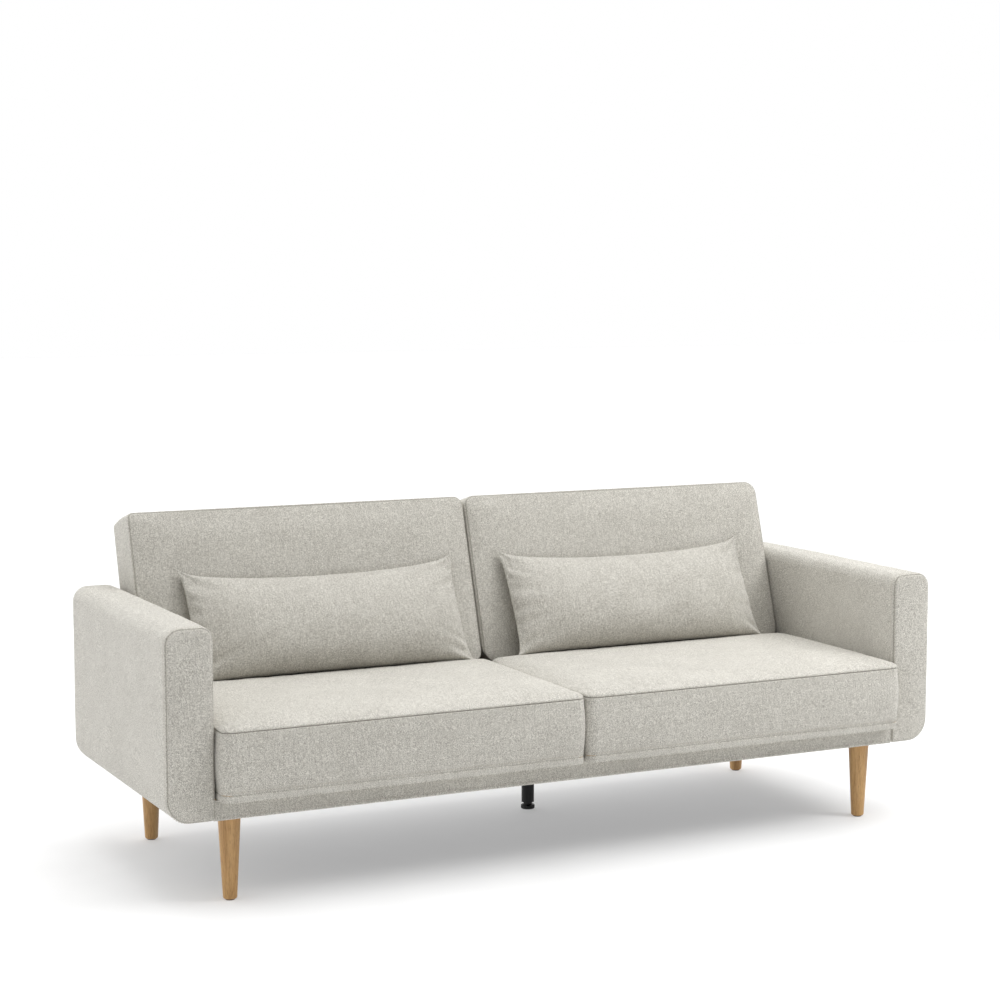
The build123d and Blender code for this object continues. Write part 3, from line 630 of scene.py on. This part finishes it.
def stitch_bar(start, end, up):
    """One thread bar from start to end: rings given by place, lift and swell, closed at both ends."""
    run = (end - start) / max(np.linalg.norm(end - start), 1e-9)
    side = np.cross(run, up)
    verts, faces = [], []
    for t, lift, swell in STITCH_RINGS:
        centre = start * (1 - t) + end * t + up * STITCH_RADIUS * lift
        for k in range(STITCH_SIDES):
            angle = 2 * math.pi * k / STITCH_SIDES
            verts.append(centre + STITCH_RADIUS * swell * (math.cos(angle) * side + math.sin(angle) * up))
    for row in range(len(STITCH_RINGS) - 1):
        for k in range(STITCH_SIDES):
            a, b = row * STITCH_SIDES + k, row * STITCH_SIDES + (k + 1) % STITCH_SIDES
            faces.append((a, b, b + STITCH_SIDES, a + STITCH_SIDES))
    faces.append(tuple(reversed(range(STITCH_SIDES))))
    faces.append(tuple(range(len(verts) - STITCH_SIDES, len(verts))))
    return verts, faces


def along_path(place, reach, values):
    """The value at a distance along a path whose points lie at the distances in reach."""
    return np.array([np.interp(place, reach, values[:, axis]) for axis in range(3)])


def stitch_row(points, outward):
    """Small thread bars laid along a line, as a list of vertices and faces for each bar."""
    steps = np.linalg.norm(np.diff(points, axis=0), axis=1)
    reach = np.concatenate([[0.0], np.cumsum(steps)])
    bars = []
    place = STITCH_GAP
    while place + STITCH_LENGTH < reach[-1]:
        up = along_path(place, reach, outward)
        up /= max(np.linalg.norm(up), 1e-9)
        start, end = (along_path(p, reach, points) for p in (place, place + STITCH_LENGTH))
        bars.append(stitch_bar(start, end, up))
        place += STITCH_LENGTH + STITCH_GAP
    return bars


def closed_row(points, outward):
    """A row of stitches that comes back to its start, with the way out at every point."""
    return np.vstack([points, points[:1]]), np.vstack([outward, outward[:1]])


def stitch_object(name, rows):
    """One piece holding several rows of stitches on the base."""
    verts, faces = [], []
    for points, outward in rows:
        for bar_verts, bar_faces in stitch_row(points, outward):
            faces += [tuple(k + len(verts) for k in face) for face in bar_faces]
            verts += bar_verts
    obj = mesh_object(name, verts, faces, THREAD)
    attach(obj, "base")


# ---- seats ----
SEAT_CORNER = 0.026
SEAT_SEAM_DROP = 0.005
SEAT_CROWN = 0.021
SEAT_BOW = 0.0042
SEAT_SEAM_GROOVE = 0.0032
SEAT_HEM = 0.017
SEAT_HEM_GROOVE = 0.0022
SEAT_HEM_STITCH = 0.0065
SEAT_STITCH_LIFT = 0.0007
SEAT_CAP = 0.011
SEAT_NOISE = {"left": 11, "right": 12}


def seat_profile(lo, hi):
    """Height and inset of each ring, from under the hem up to the top's rounded edge."""
    seam_z = hi.z - SEAT_SEAM_DROP
    profile = [(lo.z - 0.0009, 0.016), (lo.z - 0.0009, 0.0020), (lo.z, 0.0003), (lo.z + 0.003, 0.0)]
    profile += [(lo.z + 0.008, -0.0003)]
    profile += [(lo.z + SEAT_HEM + dz, inset) for dz, inset in groove(SEAT_HEM_GROOVE)]
    low, high = lo.z + 0.030, seam_z - 0.013
    for k in range(13):
        t = k / 12
        profile.append((low + (high - low) * t, -SEAT_BOW * math.sin(math.pi * t) ** 0.8))
    for dz, inset in groove(SEAT_SEAM_GROOVE):
        profile.append((seam_z + dz, inset + 0.0014 * smoothstep((dz + 0.005) / 0.010)))
    start_z, start_inset = profile[-1]
    reach, rise = 0.030, 0.009
    for k in range(1, 6):
        angle = math.pi / 2 * k / 6
        profile.append((start_z + rise * math.sin(angle), start_inset + reach * (1 - math.cos(angle))))
    return profile


def seat_crown(points, lo, hi, seed):
    """How far the stuffed top stands above its seam, point by point."""
    u = (points[:, 0] - lo.x) / (hi.x - lo.x) * 2 - 1
    v = (points[:, 1] - lo.y) / (hi.y - lo.y) * 2 - 1
    shape = (1 - np.abs(u) ** 10) * (1 - np.abs(v) ** 3.4)
    dips = 0.0012 * soft_noise(points, 0.30, seed) * shape
    return SEAT_CROWN * np.clip(shape, 0, 1) ** 0.7 + dips


def stuff_seat(obj, lo, hi, seed):
    """Raises the top to its crown: part in shape, the rest by the cloth solver."""
    base = coords(obj)
    top_low = hi.z - SEAT_SEAM_DROP + 0.002
    ease = smoothstep((base[:, 2] - top_low) / 0.010)
    lift = seat_crown(base, lo, hi, seed) * ease
    target = base.copy()
    target[:, 2] += 0.35 * lift
    set_coords(obj, target)
    blown = blow_up(obj, 1.0 - 0.98 * ease, pressure=4.0, frames=14, shrink=-0.006, bending=1.0)
    target = capped(target, blown, SEAT_CAP)
    set_coords(obj, target)


def make_seat(side):
    node = f"{side}_seat_cover"
    lo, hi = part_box(node)
    middle = (lo + hi) / 2
    section = Section(((hi.x - lo.x) / 2, (hi.y - lo.y) / 2), [SEAT_CORNER] * 4)
    profile = seat_profile(lo, hi)
    centre = [middle.x, middle.y]
    rings = [level(section.ring(inset) + centre, z) for z, inset in profile]
    verts, faces = loft(rings, section)
    obj = mesh_object(f"{side}_seat_cushion", verts, faces, UPHOLSTERY)
    face_outwards(obj)
    stuff_seat(obj, lo, hi, SEAT_NOISE[side])
    # Painted shade along the bottom of the top seam's groove.
    paint_seam_shade(obj, len(rings[0]), seam_bands(profile, hi.z - SEAT_SEAM_DROP), SEAT_SEAM_SHADE_CLOTH)
    subdivide(obj)
    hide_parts(node, f"{side}_seat_foam")
    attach(obj, "base")
    facing = level(section.outward(), 0.0)
    row = level(section.ring() + centre, lo.z + SEAT_HEM + SEAT_HEM_STITCH) + facing * SEAT_STITCH_LIFT
    stitch_object(f"{side}_seat_hem_stitches", [closed_row(row, facing)])


# ---- arms ----
ARM_RADII = (0.090, 0.010, 0.030, 0.036)
ARM_SPACING = 0.011
ARM_STITCH_DEPTH = 0.0125
ARM_STITCH_LIFT = 0.0004
ARM_REAR_ROUND = 0.040
ARM_PUFF = 0.0042
ARM_NOISE = {"left": 21, "right": 22}
FRONT_SEAM_END = 0.020


def arm_profile(length):
    """Depth from the front and inset of each ring, from the front panel back over the rounded rear end."""
    profile = corner_seam()
    start, end = FRONT_SEAM_END, length - ARM_REAR_ROUND - 0.004
    count = 60
    profile += [(start + (end - start) * k / count, 0.0) for k in range(count + 1)]
    for k in range(1, 9):
        angle = math.pi / 2 * k / 8.4
        depth = length - ARM_REAR_ROUND * (1 - math.sin(angle))
        profile.append((depth, ARM_REAR_ROUND * (1 - math.cos(angle))))
    return profile


def arm_swell(points, middle, half, seed):
    """Adds the padding's slight swell and unevenness to an arm."""
    u = (points[:, 1] - middle.y) / half.y
    v = (points[:, 2] - middle.z) / half.z
    away = points[:, 0] - middle.x
    flat = fade(u, 8) * fade(v, 6)
    wall = smoothstep((np.abs(away) - 0.040) / 0.015)
    points[:, 0] += np.sign(away) * (0.0018 + 0.0012 * soft_noise(points, 0.25, seed)) * flat * wall
    top = smoothstep((points[:, 2] - middle.z - half.z + 0.03) / 0.03)
    uneven = 0.0020 + 0.0010 * soft_noise(points, 0.16, seed + 5)
    points[:, 2] += top * fade(u, 6) * uneven
    front = smoothstep((middle.y - half.y + 0.004 - points[:, 1]) / 0.004)
    points[:, 1] -= ARM_PUFF * front * fade(away / half.x, 4) * fade(v, 6)
    return points


def make_arm(side):
    node = f"{side}_arm_cover"
    lo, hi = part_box(node)
    middle, half = (lo + hi) / 2, (hi - lo) / 2
    flip = -SIDES[side]
    section = Section((half.x, half.z), ARM_RADII, ARM_SPACING)
    rings = []
    for depth, inset in arm_profile(hi.y - lo.y):
        outline = section.ring(inset) * [flip, 1.0] + [middle.x, middle.z]
        rings.append(upright(outline, lo.y + depth))
    verts, faces = loft(rings, section)
    obj = mesh_object(f"{side}_arm_upholstery", verts, faces, UPHOLSTERY)
    face_outwards(obj)
    set_coords(obj, arm_swell(coords(obj), middle, half, ARM_NOISE[side]))
    # Painted shade along the bottom of the front seam's groove.
    paint_seam_shade(obj, len(rings[0]), FRONT_SEAM_SHADE_BANDS, EDGE_SEAM_SHADE_CLOTH)
    subdivide(obj)
    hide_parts(node, f"{side}_arm_foam")
    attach(obj, "base")
    facing = upright(section.outward() * [flip, 1.0], 0.0)
    outline = section.ring() * [flip, 1.0] + [middle.x, middle.z]
    row = upright(outline, lo.y + ARM_STITCH_DEPTH) + facing * ARM_STITCH_LIFT
    stitch_object(f"{side}_arm_front_stitches", [closed_row(row, facing)])


# ---- backs ----
BACK_HALF = 0.071
BACK_TOP = 0.485
BACK_RADII = {"left": (0.010, 0.010, 0.026, 0.015), "right": (0.010, 0.010, 0.036, 0.030)}
BACK_EDGE = 0.012
BACK_BOW = 0.0024
BACK_CROWN = 0.008
BACK_CAP = 0.006
BACK_NOISE = {"left": 31, "right": 32}
BACK_KNEE = 0.110
POCKET_R = 0.079
POCKET_DEPTH = 0.021


def lean(points, angle):
    """Turns points backwards about the X axis."""
    c, s = math.cos(angle), math.sin(angle)
    y = points[:, 1] * c + points[:, 2] * s
    z = -points[:, 1] * s + points[:, 2] * c
    return np.column_stack([points[:, 0], y, z])


def back_profile():
    """Depth from the front and inset of each ring of a back half, front to rear."""
    profile = corner_seam()
    depth = 2 * BACK_HALF
    start, end = FRONT_SEAM_END, depth - BACK_EDGE - 0.004
    for k in range(9):
        t = k / 8
        profile.append((start + (end - start) * t, -BACK_BOW * math.sin(math.pi * t)))
    for k in range(1, 6):
        angle = math.pi / 2 * k / 5.4
        profile.append((depth - BACK_EDGE * (1 - math.sin(angle)), BACK_EDGE * (1 - math.cos(angle))))
    return profile


def round_foot(points):
    """Gathers the lower end of an upright back into the half round about its pivot."""
    y = np.clip(points[:, 1], -BACK_HALF, BACK_HALF)
    bottom = -np.sqrt(np.maximum(BACK_HALF ** 2 - y ** 2, 0.0))
    squeeze = (BACK_KNEE - bottom) / (BACK_KNEE + BACK_HALF)
    low = points[:, 2] < BACK_KNEE
    points[:, 2] = np.where(low, BACK_KNEE - (BACK_KNEE - points[:, 2]) * squeeze, points[:, 2])
    return points


def cut_pockets(points, x0, x1):
    """Pulls the lower corners in, where the hinge plates stand."""
    reach = np.hypot(points[:, 1], points[:, 2])
    depth = POCKET_DEPTH * smoothstep((POCKET_R + 0.006 - reach) / 0.006)
    points[:, 0] = np.clip(points[:, 0], x0 + depth, x1 - depth)
    return points


def stuff_back(obj, x0, x1, seed):
    """Fills out an upright back's front and leaves its rear a little uneven; returns the points."""
    base = coords(obj)
    u = (base[:, 0] - x0) / (x1 - x0) * 2 - 1
    v = np.clip(base[:, 2] / BACK_TOP, 0, 1) * 2 - 1
    shape = fade(u, 7) * fade(v, 6)
    front = smoothstep((-BACK_HALF + 0.004 - base[:, 1]) / 0.004)
    target = base.copy()
    crown = BACK_CROWN * shape ** 0.7 + 0.0012 * soft_noise(base, 0.28, seed) * shape
    target[:, 1] -= front * 0.4 * crown
    set_coords(obj, target)
    held = 1.0 - 0.97 * front * (shape > 0.02)
    blown = blow_up(obj, held, pressure=2.5, frames=12, shrink=-0.004, bending=1.0)
    target = capped(target, blown, BACK_CAP)
    rear = smoothstep((base[:, 1] - BACK_HALF + 0.004) / 0.004)
    target[:, 1] += rear * 0.0010 * soft_noise(base, 0.3, seed + 7) * shape
    return target


def make_back(side):
    lo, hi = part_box(f"{side}_back_cover")
    x0, x1 = lo.x, hi.x
    half = ((x1 - x0) / 2, (BACK_TOP + BACK_HALF) / 2)
    centre = [(x0 + x1) / 2, (BACK_TOP - BACK_HALF) / 2]
    section = Section(half, BACK_RADII[side])
    rings = [upright(section.ring(inset) + centre, depth - BACK_HALF) for depth, inset in back_profile()]
    verts, faces = loft(rings, section)
    obj = mesh_object(f"{side}_back_cushion", round_foot(verts), faces, UPHOLSTERY)
    face_outwards(obj)
    target = stuff_back(obj, x0, x1, BACK_NOISE[side])
    set_coords(obj, lean(cut_pockets(target, x0, x1), RECLINE) + [0.0, PIVOT.y, PIVOT.z])
    # Painted shade along the bottom of the front seam's groove.
    paint_seam_shade(obj, len(rings[0]), FRONT_SEAM_SHADE_BANDS, EDGE_SEAM_SHADE_CLOTH)
    subdivide(obj)
    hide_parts(f"{side}_back_cover", f"{side}_back_foam")
    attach(obj, f"{side}_back")


# ---- pillows ----
PILLOW_SIZE = (0.774, 0.314)
PILLOW_LEAN = math.radians(27.4)
PILLOW_THICK = 0.142
PILLOW_CELL = 0.008
PILLOW_SINK = 0.008
PILLOW_FOOT = 0.134
PILLOW_CREASE = 0.017
PILLOW_CAP = 0.0035
PILLOW_NOISE = {"left": 41, "right": 42}
CREASE_PLACES = (0.08, 0.17, 0.29, 0.44, 0.62, 0.74, 0.84, 0.93)
PUCKERS = 22
BACK_CONTACT = 0.006
BACK_GIVE = 0.012
SEAT_CONTACT = 0.012
SEAT_GIVE = 0.010


def pillow_edges(u, s):
    """How far the seam is drawn in at the sides, the top and the foot: small ears and a long hollow."""
    v = np.abs(2 * s - 1)
    sides = 0.013 * (1 - v ** 9) + 0.005 * (1 - v ** 2)
    top = 0.016 * (1 - np.abs(u) ** 16) + 0.025 * (1 - np.abs(u) ** 2.2)
    foot = 0.008 * (1 - np.abs(u) ** 14)
    return sides, top, foot


def pillow_fullness(u, s):
    """Share of the full half thickness: a knife edge all round, fullest a little below the middle."""
    rise = np.clip(s, 0, 1) ** 0.50 * np.clip(1 - s, 0, 1) ** 0.72
    peak = 0.41 ** 0.50 * 0.59 ** 0.72
    return rise / peak * fade(u, 3.2) ** 0.72


def fold(inward, reach, aside, wide):
    """A fold from a seam: 0 at the seam itself, then deepest, dying away inwards and to its sides."""
    return smoothstep(inward / 0.006) * np.exp(-(inward / reach) ** 1.5) * np.exp(-(aside / wide) ** 2)


def pillow_creases(u, s, seed):
    """Folds in from the side seams, strongest towards the corners, and fine puckers along the top."""
    rng = np.random.default_rng(seed)
    width, height = PILLOW_SIZE
    inward = (1 - np.abs(u)) * width / 2
    total = np.zeros(len(u))
    for side in (-1, 1):
        near = np.where(u * side > 0, 1.0, 0.0)
        for place in CREASE_PLACES:
            middle = place + rng.uniform(-0.025, 0.025)
            slant = (0.5 - middle) * rng.uniform(0.5, 1.1)
            line = middle + slant * inward / height
            wide = rng.uniform(0.009, 0.015) / height
            reach = rng.uniform(0.028, 0.065)
            deep = rng.uniform(0.5, 1.0) * (0.35 + 1.1 * abs(middle - 0.5))
            total -= near * deep * fold(inward, reach, s - line, wide)
    downward = (1 - s) * height
    for _ in range(PUCKERS):
        middle, wide = rng.uniform(-0.95, 0.95), rng.uniform(0.010, 0.020)
        deep, reach = rng.uniform(0.12, 0.40), rng.uniform(0.012, 0.030)
        total -= deep * fold(downward, reach, u - middle, wide)
    return total


def crowded(count):
    """Places from -1 to 1 that lie closer together towards both ends."""
    reach = math.pi / 2 * 0.8
    return np.sin(np.linspace(-1, 1, count + 1) * reach) / math.sin(reach)


def two_panels(nx, nz):
    """Two sheets joined along their edges: each point's u, s and side, and the faces."""
    us, ss = crowded(nx), 0.5 + 0.5 * crowded(nz)
    places, faces, index = [], [], {}
    for layer, outward in ((0, -1.0), (1, 1.0)):
        for i in range(nx + 1):
            for j in range(nz + 1):
                on_edge = i in (0, nx) or j in (0, nz)
                if layer and on_edge:
                    index[layer, i, j] = index[0, i, j]
                    continue
                index[layer, i, j] = len(places)
                places.append((us[i], ss[j], 0.0 if on_edge else outward))
        for i in range(nx):
            for j in range(nz):
                corners = ((i, j), (i + 1, j), (i + 1, j + 1), (i, j + 1))
                quad = [index[layer, a, b] for a, b in corners]
                faces.append(quad if layer == 0 else quad[::-1])
    return np.array(places).T, faces


def pillow_mesh(name, seed):
    """Two panels joined along their edges, shaped as a filled pillow standing on its foot."""
    width, height = PILLOW_SIZE
    (u, s, outward), faces = two_panels(int(width / PILLOW_CELL), int(height / PILLOW_CELL))
    sides, top, foot = pillow_edges(u, s)
    x = u * (width / 2 - sides)
    z = s * (height - top) + (1 - s) * foot
    flat = np.column_stack([x, np.zeros(len(x)), z])
    lumps = 1 + 0.05 * soft_noise(flat, 0.16, seed)
    plain = PILLOW_THICK / 2 * pillow_fullness(u, s) * lumps
    creased = plain + PILLOW_CREASE * pillow_creases(u, s, seed)
    y = outward * np.maximum(creased, 0.3 * plain)
    return mesh_object(name, np.column_stack([x, y, z]), faces, PILLOW_CLOTH)


def pressed(distance, soft):
    """Distances from a surface after pressing on it: those below soft close up towards 0."""
    return np.where(distance < soft, soft * np.exp(np.clip(distance / soft - 1, -30, 0)), distance)


def rest_on_back(points):
    """Presses the pillow's rear flat where it meets the back's front."""
    normal = np.array([0.0, -math.cos(RECLINE), math.sin(RECLINE)])
    distance = (points - np.array(PIVOT)) @ normal - (BACK_HALF + BACK_CONTACT)
    return points + np.outer(pressed(distance, BACK_GIVE) - distance, normal)


def rest_on_seat(points, seat_top):
    """Presses the pillow's foot flat where it meets the seat."""
    height = points[:, 2] - (seat_top + SEAT_CONTACT)
    points[:, 2] += pressed(height, SEAT_GIVE) - height
    return points


def make_pillow(side):
    obj = pillow_mesh(f"{side}_pillow", PILLOW_NOISE[side])
    shape = coords(obj)
    blown = blow_up(obj, np.zeros(len(shape)), pressure=1.2, frames=10, shrink=-0.004, bending=0.3)
    shape = capped(shape, blown, PILLOW_CAP)
    lo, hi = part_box(f"{side}_pillow_cover")
    foot = [(lo.x + hi.x) / 2, PIVOT.y - PILLOW_FOOT, lo.z - PILLOW_SINK]
    points = rest_on_back(lean(shape, PILLOW_LEAN) + foot)
    set_coords(obj, rest_on_seat(points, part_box(f"{side}_seat_cover")[1].z))
    face_outwards(obj)
    subdivide(obj)
    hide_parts(f"{side}_pillow_cover", f"{side}_pillow_filling")
    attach(obj, f"{side}_pillow")


# ---- base covers and dust cloth ----
def tube(rings):
    """Quads between equal rings, with a plain face over both ends."""
    count = len(rings[0])
    verts = np.concatenate(rings)
    faces = joined_rings(rings)
    faces.append(tuple(range(count)))
    faces.append(tuple(range(len(verts) - count, len(verts))))
    return verts, faces


def strip_along_x(name, profile, low_x, high_x, seed):
    """A thin folded strip: a closed profile in YZ carried along X with a slightly uneven surface.

    A ring just inside each end keeps the ends square when the strip is smoothed.
    """
    steps = 120
    hold = 0.0006
    places = [low_x, *np.linspace(low_x + hold, high_x - hold, steps + 1), high_x]
    rings = [np.column_stack([np.full(len(profile), x), profile]) for x in places]
    verts, faces = tube(rings)
    obj = mesh_object(name, verts, faces, UPHOLSTERY)
    face_outwards(obj)
    points = coords(obj)
    points[:, 1] += 0.0005 * soft_noise(points, 0.12, seed)
    set_coords(obj, points)
    subdivide(obj)
    return obj


WRAP_THICK = 0.002
WRAP_ROUND = 0.005
WRAP_BOW = 0.0008
WRAP_INTO_ARM = 0.003
WRAP_STITCH_HEIGHT = 0.009
WRAP_STITCH_LIFT = 0.0006
WRAP_STITCH_END = 0.004


def wrap_profile(face_y, back_y, low_z, high_z, direction):
    """The section of fabric wrapped over a rail's face and turned under it."""
    outer, inner = [], []
    steps = 8
    for k in range(steps + 1):
        z = high_z - (high_z - low_z - WRAP_ROUND) * k / steps
        outer.append((face_y - direction * WRAP_BOW * math.sin(math.pi * k / steps), z))
        inner.append((face_y + direction * WRAP_THICK, max(z, low_z + WRAP_THICK + 0.001)))
    for k in range(1, 5):
        angle = math.pi / 2 * k / 4
        y = face_y + direction * WRAP_ROUND * (1 - math.cos(angle))
        outer.append((y, low_z + WRAP_ROUND * (1 - math.sin(angle))))
    for k in range(1, 4):
        y = face_y + direction * WRAP_ROUND + (back_y - face_y - direction * WRAP_ROUND) * k / 3
        outer.append((y, low_z))
    turned_in = low_z + WRAP_THICK
    inner_low = [(back_y, turned_in), (face_y + direction * (WRAP_THICK + 0.004), turned_in)]
    return np.array(outer + inner_low + inner[::-1])


def make_rail_wraps():
    lo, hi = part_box("base_rail_covers")
    front_rail, rear_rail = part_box("base_front_rail"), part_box("base_rear_rail")
    low_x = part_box("left_arm_cover")[1].x - WRAP_INTO_ARM
    high_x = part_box("right_arm_cover")[0].x + WRAP_INTO_ARM
    front = wrap_profile(lo.y, front_rail[1].y, lo.z, hi.z, 1.0)
    rear = wrap_profile(hi.y, rear_rail[0].y, lo.z, hi.z, -1.0)
    for name, profile, seed in (("front_rail_wrap", front, 51), ("rear_rail_wrap", rear, 52)):
        obj = strip_along_x(name, profile, low_x, high_x, seed)
        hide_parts("base_rail_covers")
        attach(obj, "base")
    rows = []
    xs = (lo.x + WRAP_STITCH_END, hi.x - WRAP_STITCH_END)
    for y, facing in ((lo.y - WRAP_STITCH_LIFT, -1.0), (hi.y + WRAP_STITCH_LIFT, 1.0)):
        ends = [[x, y, lo.z + WRAP_STITCH_HEIGHT] for x in xs]
        rows.append((np.array(ends), np.array([[0.0, facing, 0.0]] * 2)))
    stitch_object("rail_wrap_stitches", rows)


DUST_CELLS = (150, 54)
DUST_SAG = 0.004
DUST_THICK = 0.0006
PLATE_SIZE = 0.058
PLATE_ROOM = 0.004


def plate_areas():
    """The low and high corners of every plate that the dust cloth is cut out round."""
    centre_lo, centre_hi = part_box("centre_leg_plate")
    lo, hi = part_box("leg_plates")
    areas = [(centre_lo.x, centre_lo.y, centre_hi.x, centre_hi.y)]
    for x in (lo.x, hi.x - PLATE_SIZE):
        for y in (lo.y, hi.y - PLATE_SIZE):
            areas.append((x, y, x + PLATE_SIZE, y + PLATE_SIZE))
    return areas


def in_area(x, y, area):
    x0, y0, x1, y1 = area
    return x0 - PLATE_ROOM < x < x1 + PLATE_ROOM and y0 - PLATE_ROOM < y < y1 + PLATE_ROOM


def drop_loose_points(obj):
    bm = bmesh.new()
    bm.from_mesh(obj.data)
    loose = [v for v in bm.verts if not v.link_faces]
    bmesh.ops.delete(bm, geom=loose, context="VERTS")
    bm.to_mesh(obj.data)
    bm.free()


def make_dust_cloth():
    """Black non-woven cloth stapled under the base, sagging a little between the rails."""
    lo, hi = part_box("dust_cover")
    nx, ny = DUST_CELLS
    xs, ys = np.linspace(lo.x, hi.x, nx + 1), np.linspace(lo.y, hi.y, ny + 1)
    grid = np.array([(x, y) for x in xs for y in ys])
    u = np.abs(np.sin((grid[:, 0] / (hi.x - lo.x)) * 2 * math.pi))
    v = np.sin((grid[:, 1] - lo.y) / (hi.y - lo.y) * math.pi)
    flat = np.column_stack([grid, np.zeros(len(grid))])
    sag = DUST_SAG * u * v + 0.0012 * soft_noise(flat, 0.18, 61) * v
    verts = np.column_stack([grid, (lo.z + hi.z) / 2 - np.abs(sag)])
    areas = plate_areas()
    faces = []
    for i in range(nx):
        for j in range(ny):
            x, y = (xs[i] + xs[i + 1]) / 2, (ys[j] + ys[j + 1]) / 2
            a = i * (ny + 1) + j
            if not any(in_area(x, y, area) for area in areas):
                faces.append((a, a + 1, a + ny + 2, a + ny + 1))
    obj = mesh_object("dust_cloth_sheet", verts, faces, DUST_CLOTH)
    drop_loose_points(obj)
    obj.modifiers.new("thickness", "SOLIDIFY").thickness = DUST_THICK
    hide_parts("dust_cover")
    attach(obj, "base")


# ---- stage, light and camera ----
CAMERA_PLACE = (-2.5197, -5.0302, 1.4508)
CAMERA_TURN = 26.32
CAMERA_DROP = 6.01
CAMERA_LENS = 79.1
CAMERA_SENSOR = 36.0
FLOOR_REACH = 30.0
FLOOR_GLOW = 0.34
WORLD_FRONT = 0.04
WORLD_REAR = 1.35
WHITE = (1.0, 1.0, 1.0, 1.0)


def make_camera():
    data = bpy.data.cameras.new("camera")
    data.lens = CAMERA_LENS
    data.sensor_width = CAMERA_SENSOR
    data.dof.use_dof = False
    camera = add_object("camera", data)
    camera.location = CAMERA_PLACE
    camera.rotation_euler = (math.radians(90 - CAMERA_DROP), 0.0, -math.radians(CAMERA_TURN))
    bpy.context.scene.camera = camera


def area_light(name, place, aim, size, power):
    """A square panel of light, size metres wide, that points at aim."""
    data = bpy.data.lights.new(name, "AREA")
    data.shape = "SQUARE"
    data.size = size
    data.energy = power
    lamp = add_object(name, data)
    lamp.location = place
    lamp.rotation_euler = (Vector(aim) - Vector(place)).to_track_quat("-Z", "Y").to_euler()


def floor_paint():
    """Near-white paint with a little light of its own, so that the floor fades into the background."""
    material, shader, net = new_material("studio_floor")
    tone = net.noise(net.object_position(), 3.0)
    colour = net.ramp(tone, [(0.3, linear(196, 196, 196)), (0.7, linear(202, 202, 202))])
    net.link(colour, shader.inputs["Base Color"])
    shader.inputs["Roughness"].default_value = 0.9
    shader.inputs["Emission Color"].default_value = WHITE
    shader.inputs["Emission Strength"].default_value = FLOOR_GLOW
    return material


def make_stage():
    """A seamless pale floor under even studio light."""
    steps = 24
    xs = np.linspace(-FLOOR_REACH, FLOOR_REACH, steps + 1)
    verts = [(x, y, 0.0) for x in xs for y in xs]
    faces = []
    for i in range(steps):
        for j in range(steps):
            a = i * (steps + 1) + j
            faces.append((a, a + steps + 1, a + steps + 2, a + 1))
    floor = mesh_object("studio_floor", verts, faces, floor_paint())
    make_world()
    bpy.context.scene.view_settings.view_transform = "Standard"
    sun_light("overhead", towards=(0.22, -0.19, 1.0), spread=60.0, strength=2.15)
    area_light("key", place=(3.0, -2.0, 2.8), aim=(0.8, 0.2, 0.5), size=1.4, power=62.0)


def make_world():
    """Soft surroundings, bright behind the sofa and dim in front of it, and plain white to the camera."""
    world = bpy.data.worlds.new("studio")
    bpy.context.scene.world = world
    world.use_nodes = True
    net = Net(world)
    background = world.node_tree.nodes["Background"]
    background.inputs["Color"].default_value = WHITE
    direction = net.node("ShaderNodeTexCoord").outputs["Generated"]
    x, y, _ = net.split(direction)
    aim = net.plus(net.times(x, -0.35), net.times(y, 0.94))
    spread = net.node("ShaderNodeMapRange", interpolation_type="SMOOTHSTEP")
    net.link(aim, spread.inputs["Value"])
    ends = {"From Min": -0.7, "From Max": 0.6, "To Min": WORLD_FRONT, "To Max": WORLD_REAR}
    for socket, value in ends.items():
        spread.inputs[socket].default_value = value
    seen = net.node("ShaderNodeLightPath").outputs["Is Camera Ray"]
    net.link(net.mix(seen, spread.outputs["Result"], 1.0), background.inputs["Strength"])


def sun_light(name, towards, spread, strength):
    """A very soft light from one side of the sky."""
    data = bpy.data.lights.new(name, "SUN")
    data.energy = strength
    data.angle = math.radians(spread)
    lamp = add_object(name, data)
    lamp.rotation_euler = Vector(towards).to_track_quat("Z", "Y").to_euler()


dress_cad_nodes()
make_camera()
make_stage()
for side_name in SIDES:
    make_seat(side_name)
    make_back(side_name)
    make_arm(side_name)
    make_pillow(side_name)
make_rail_wraps()
make_dust_cloth()
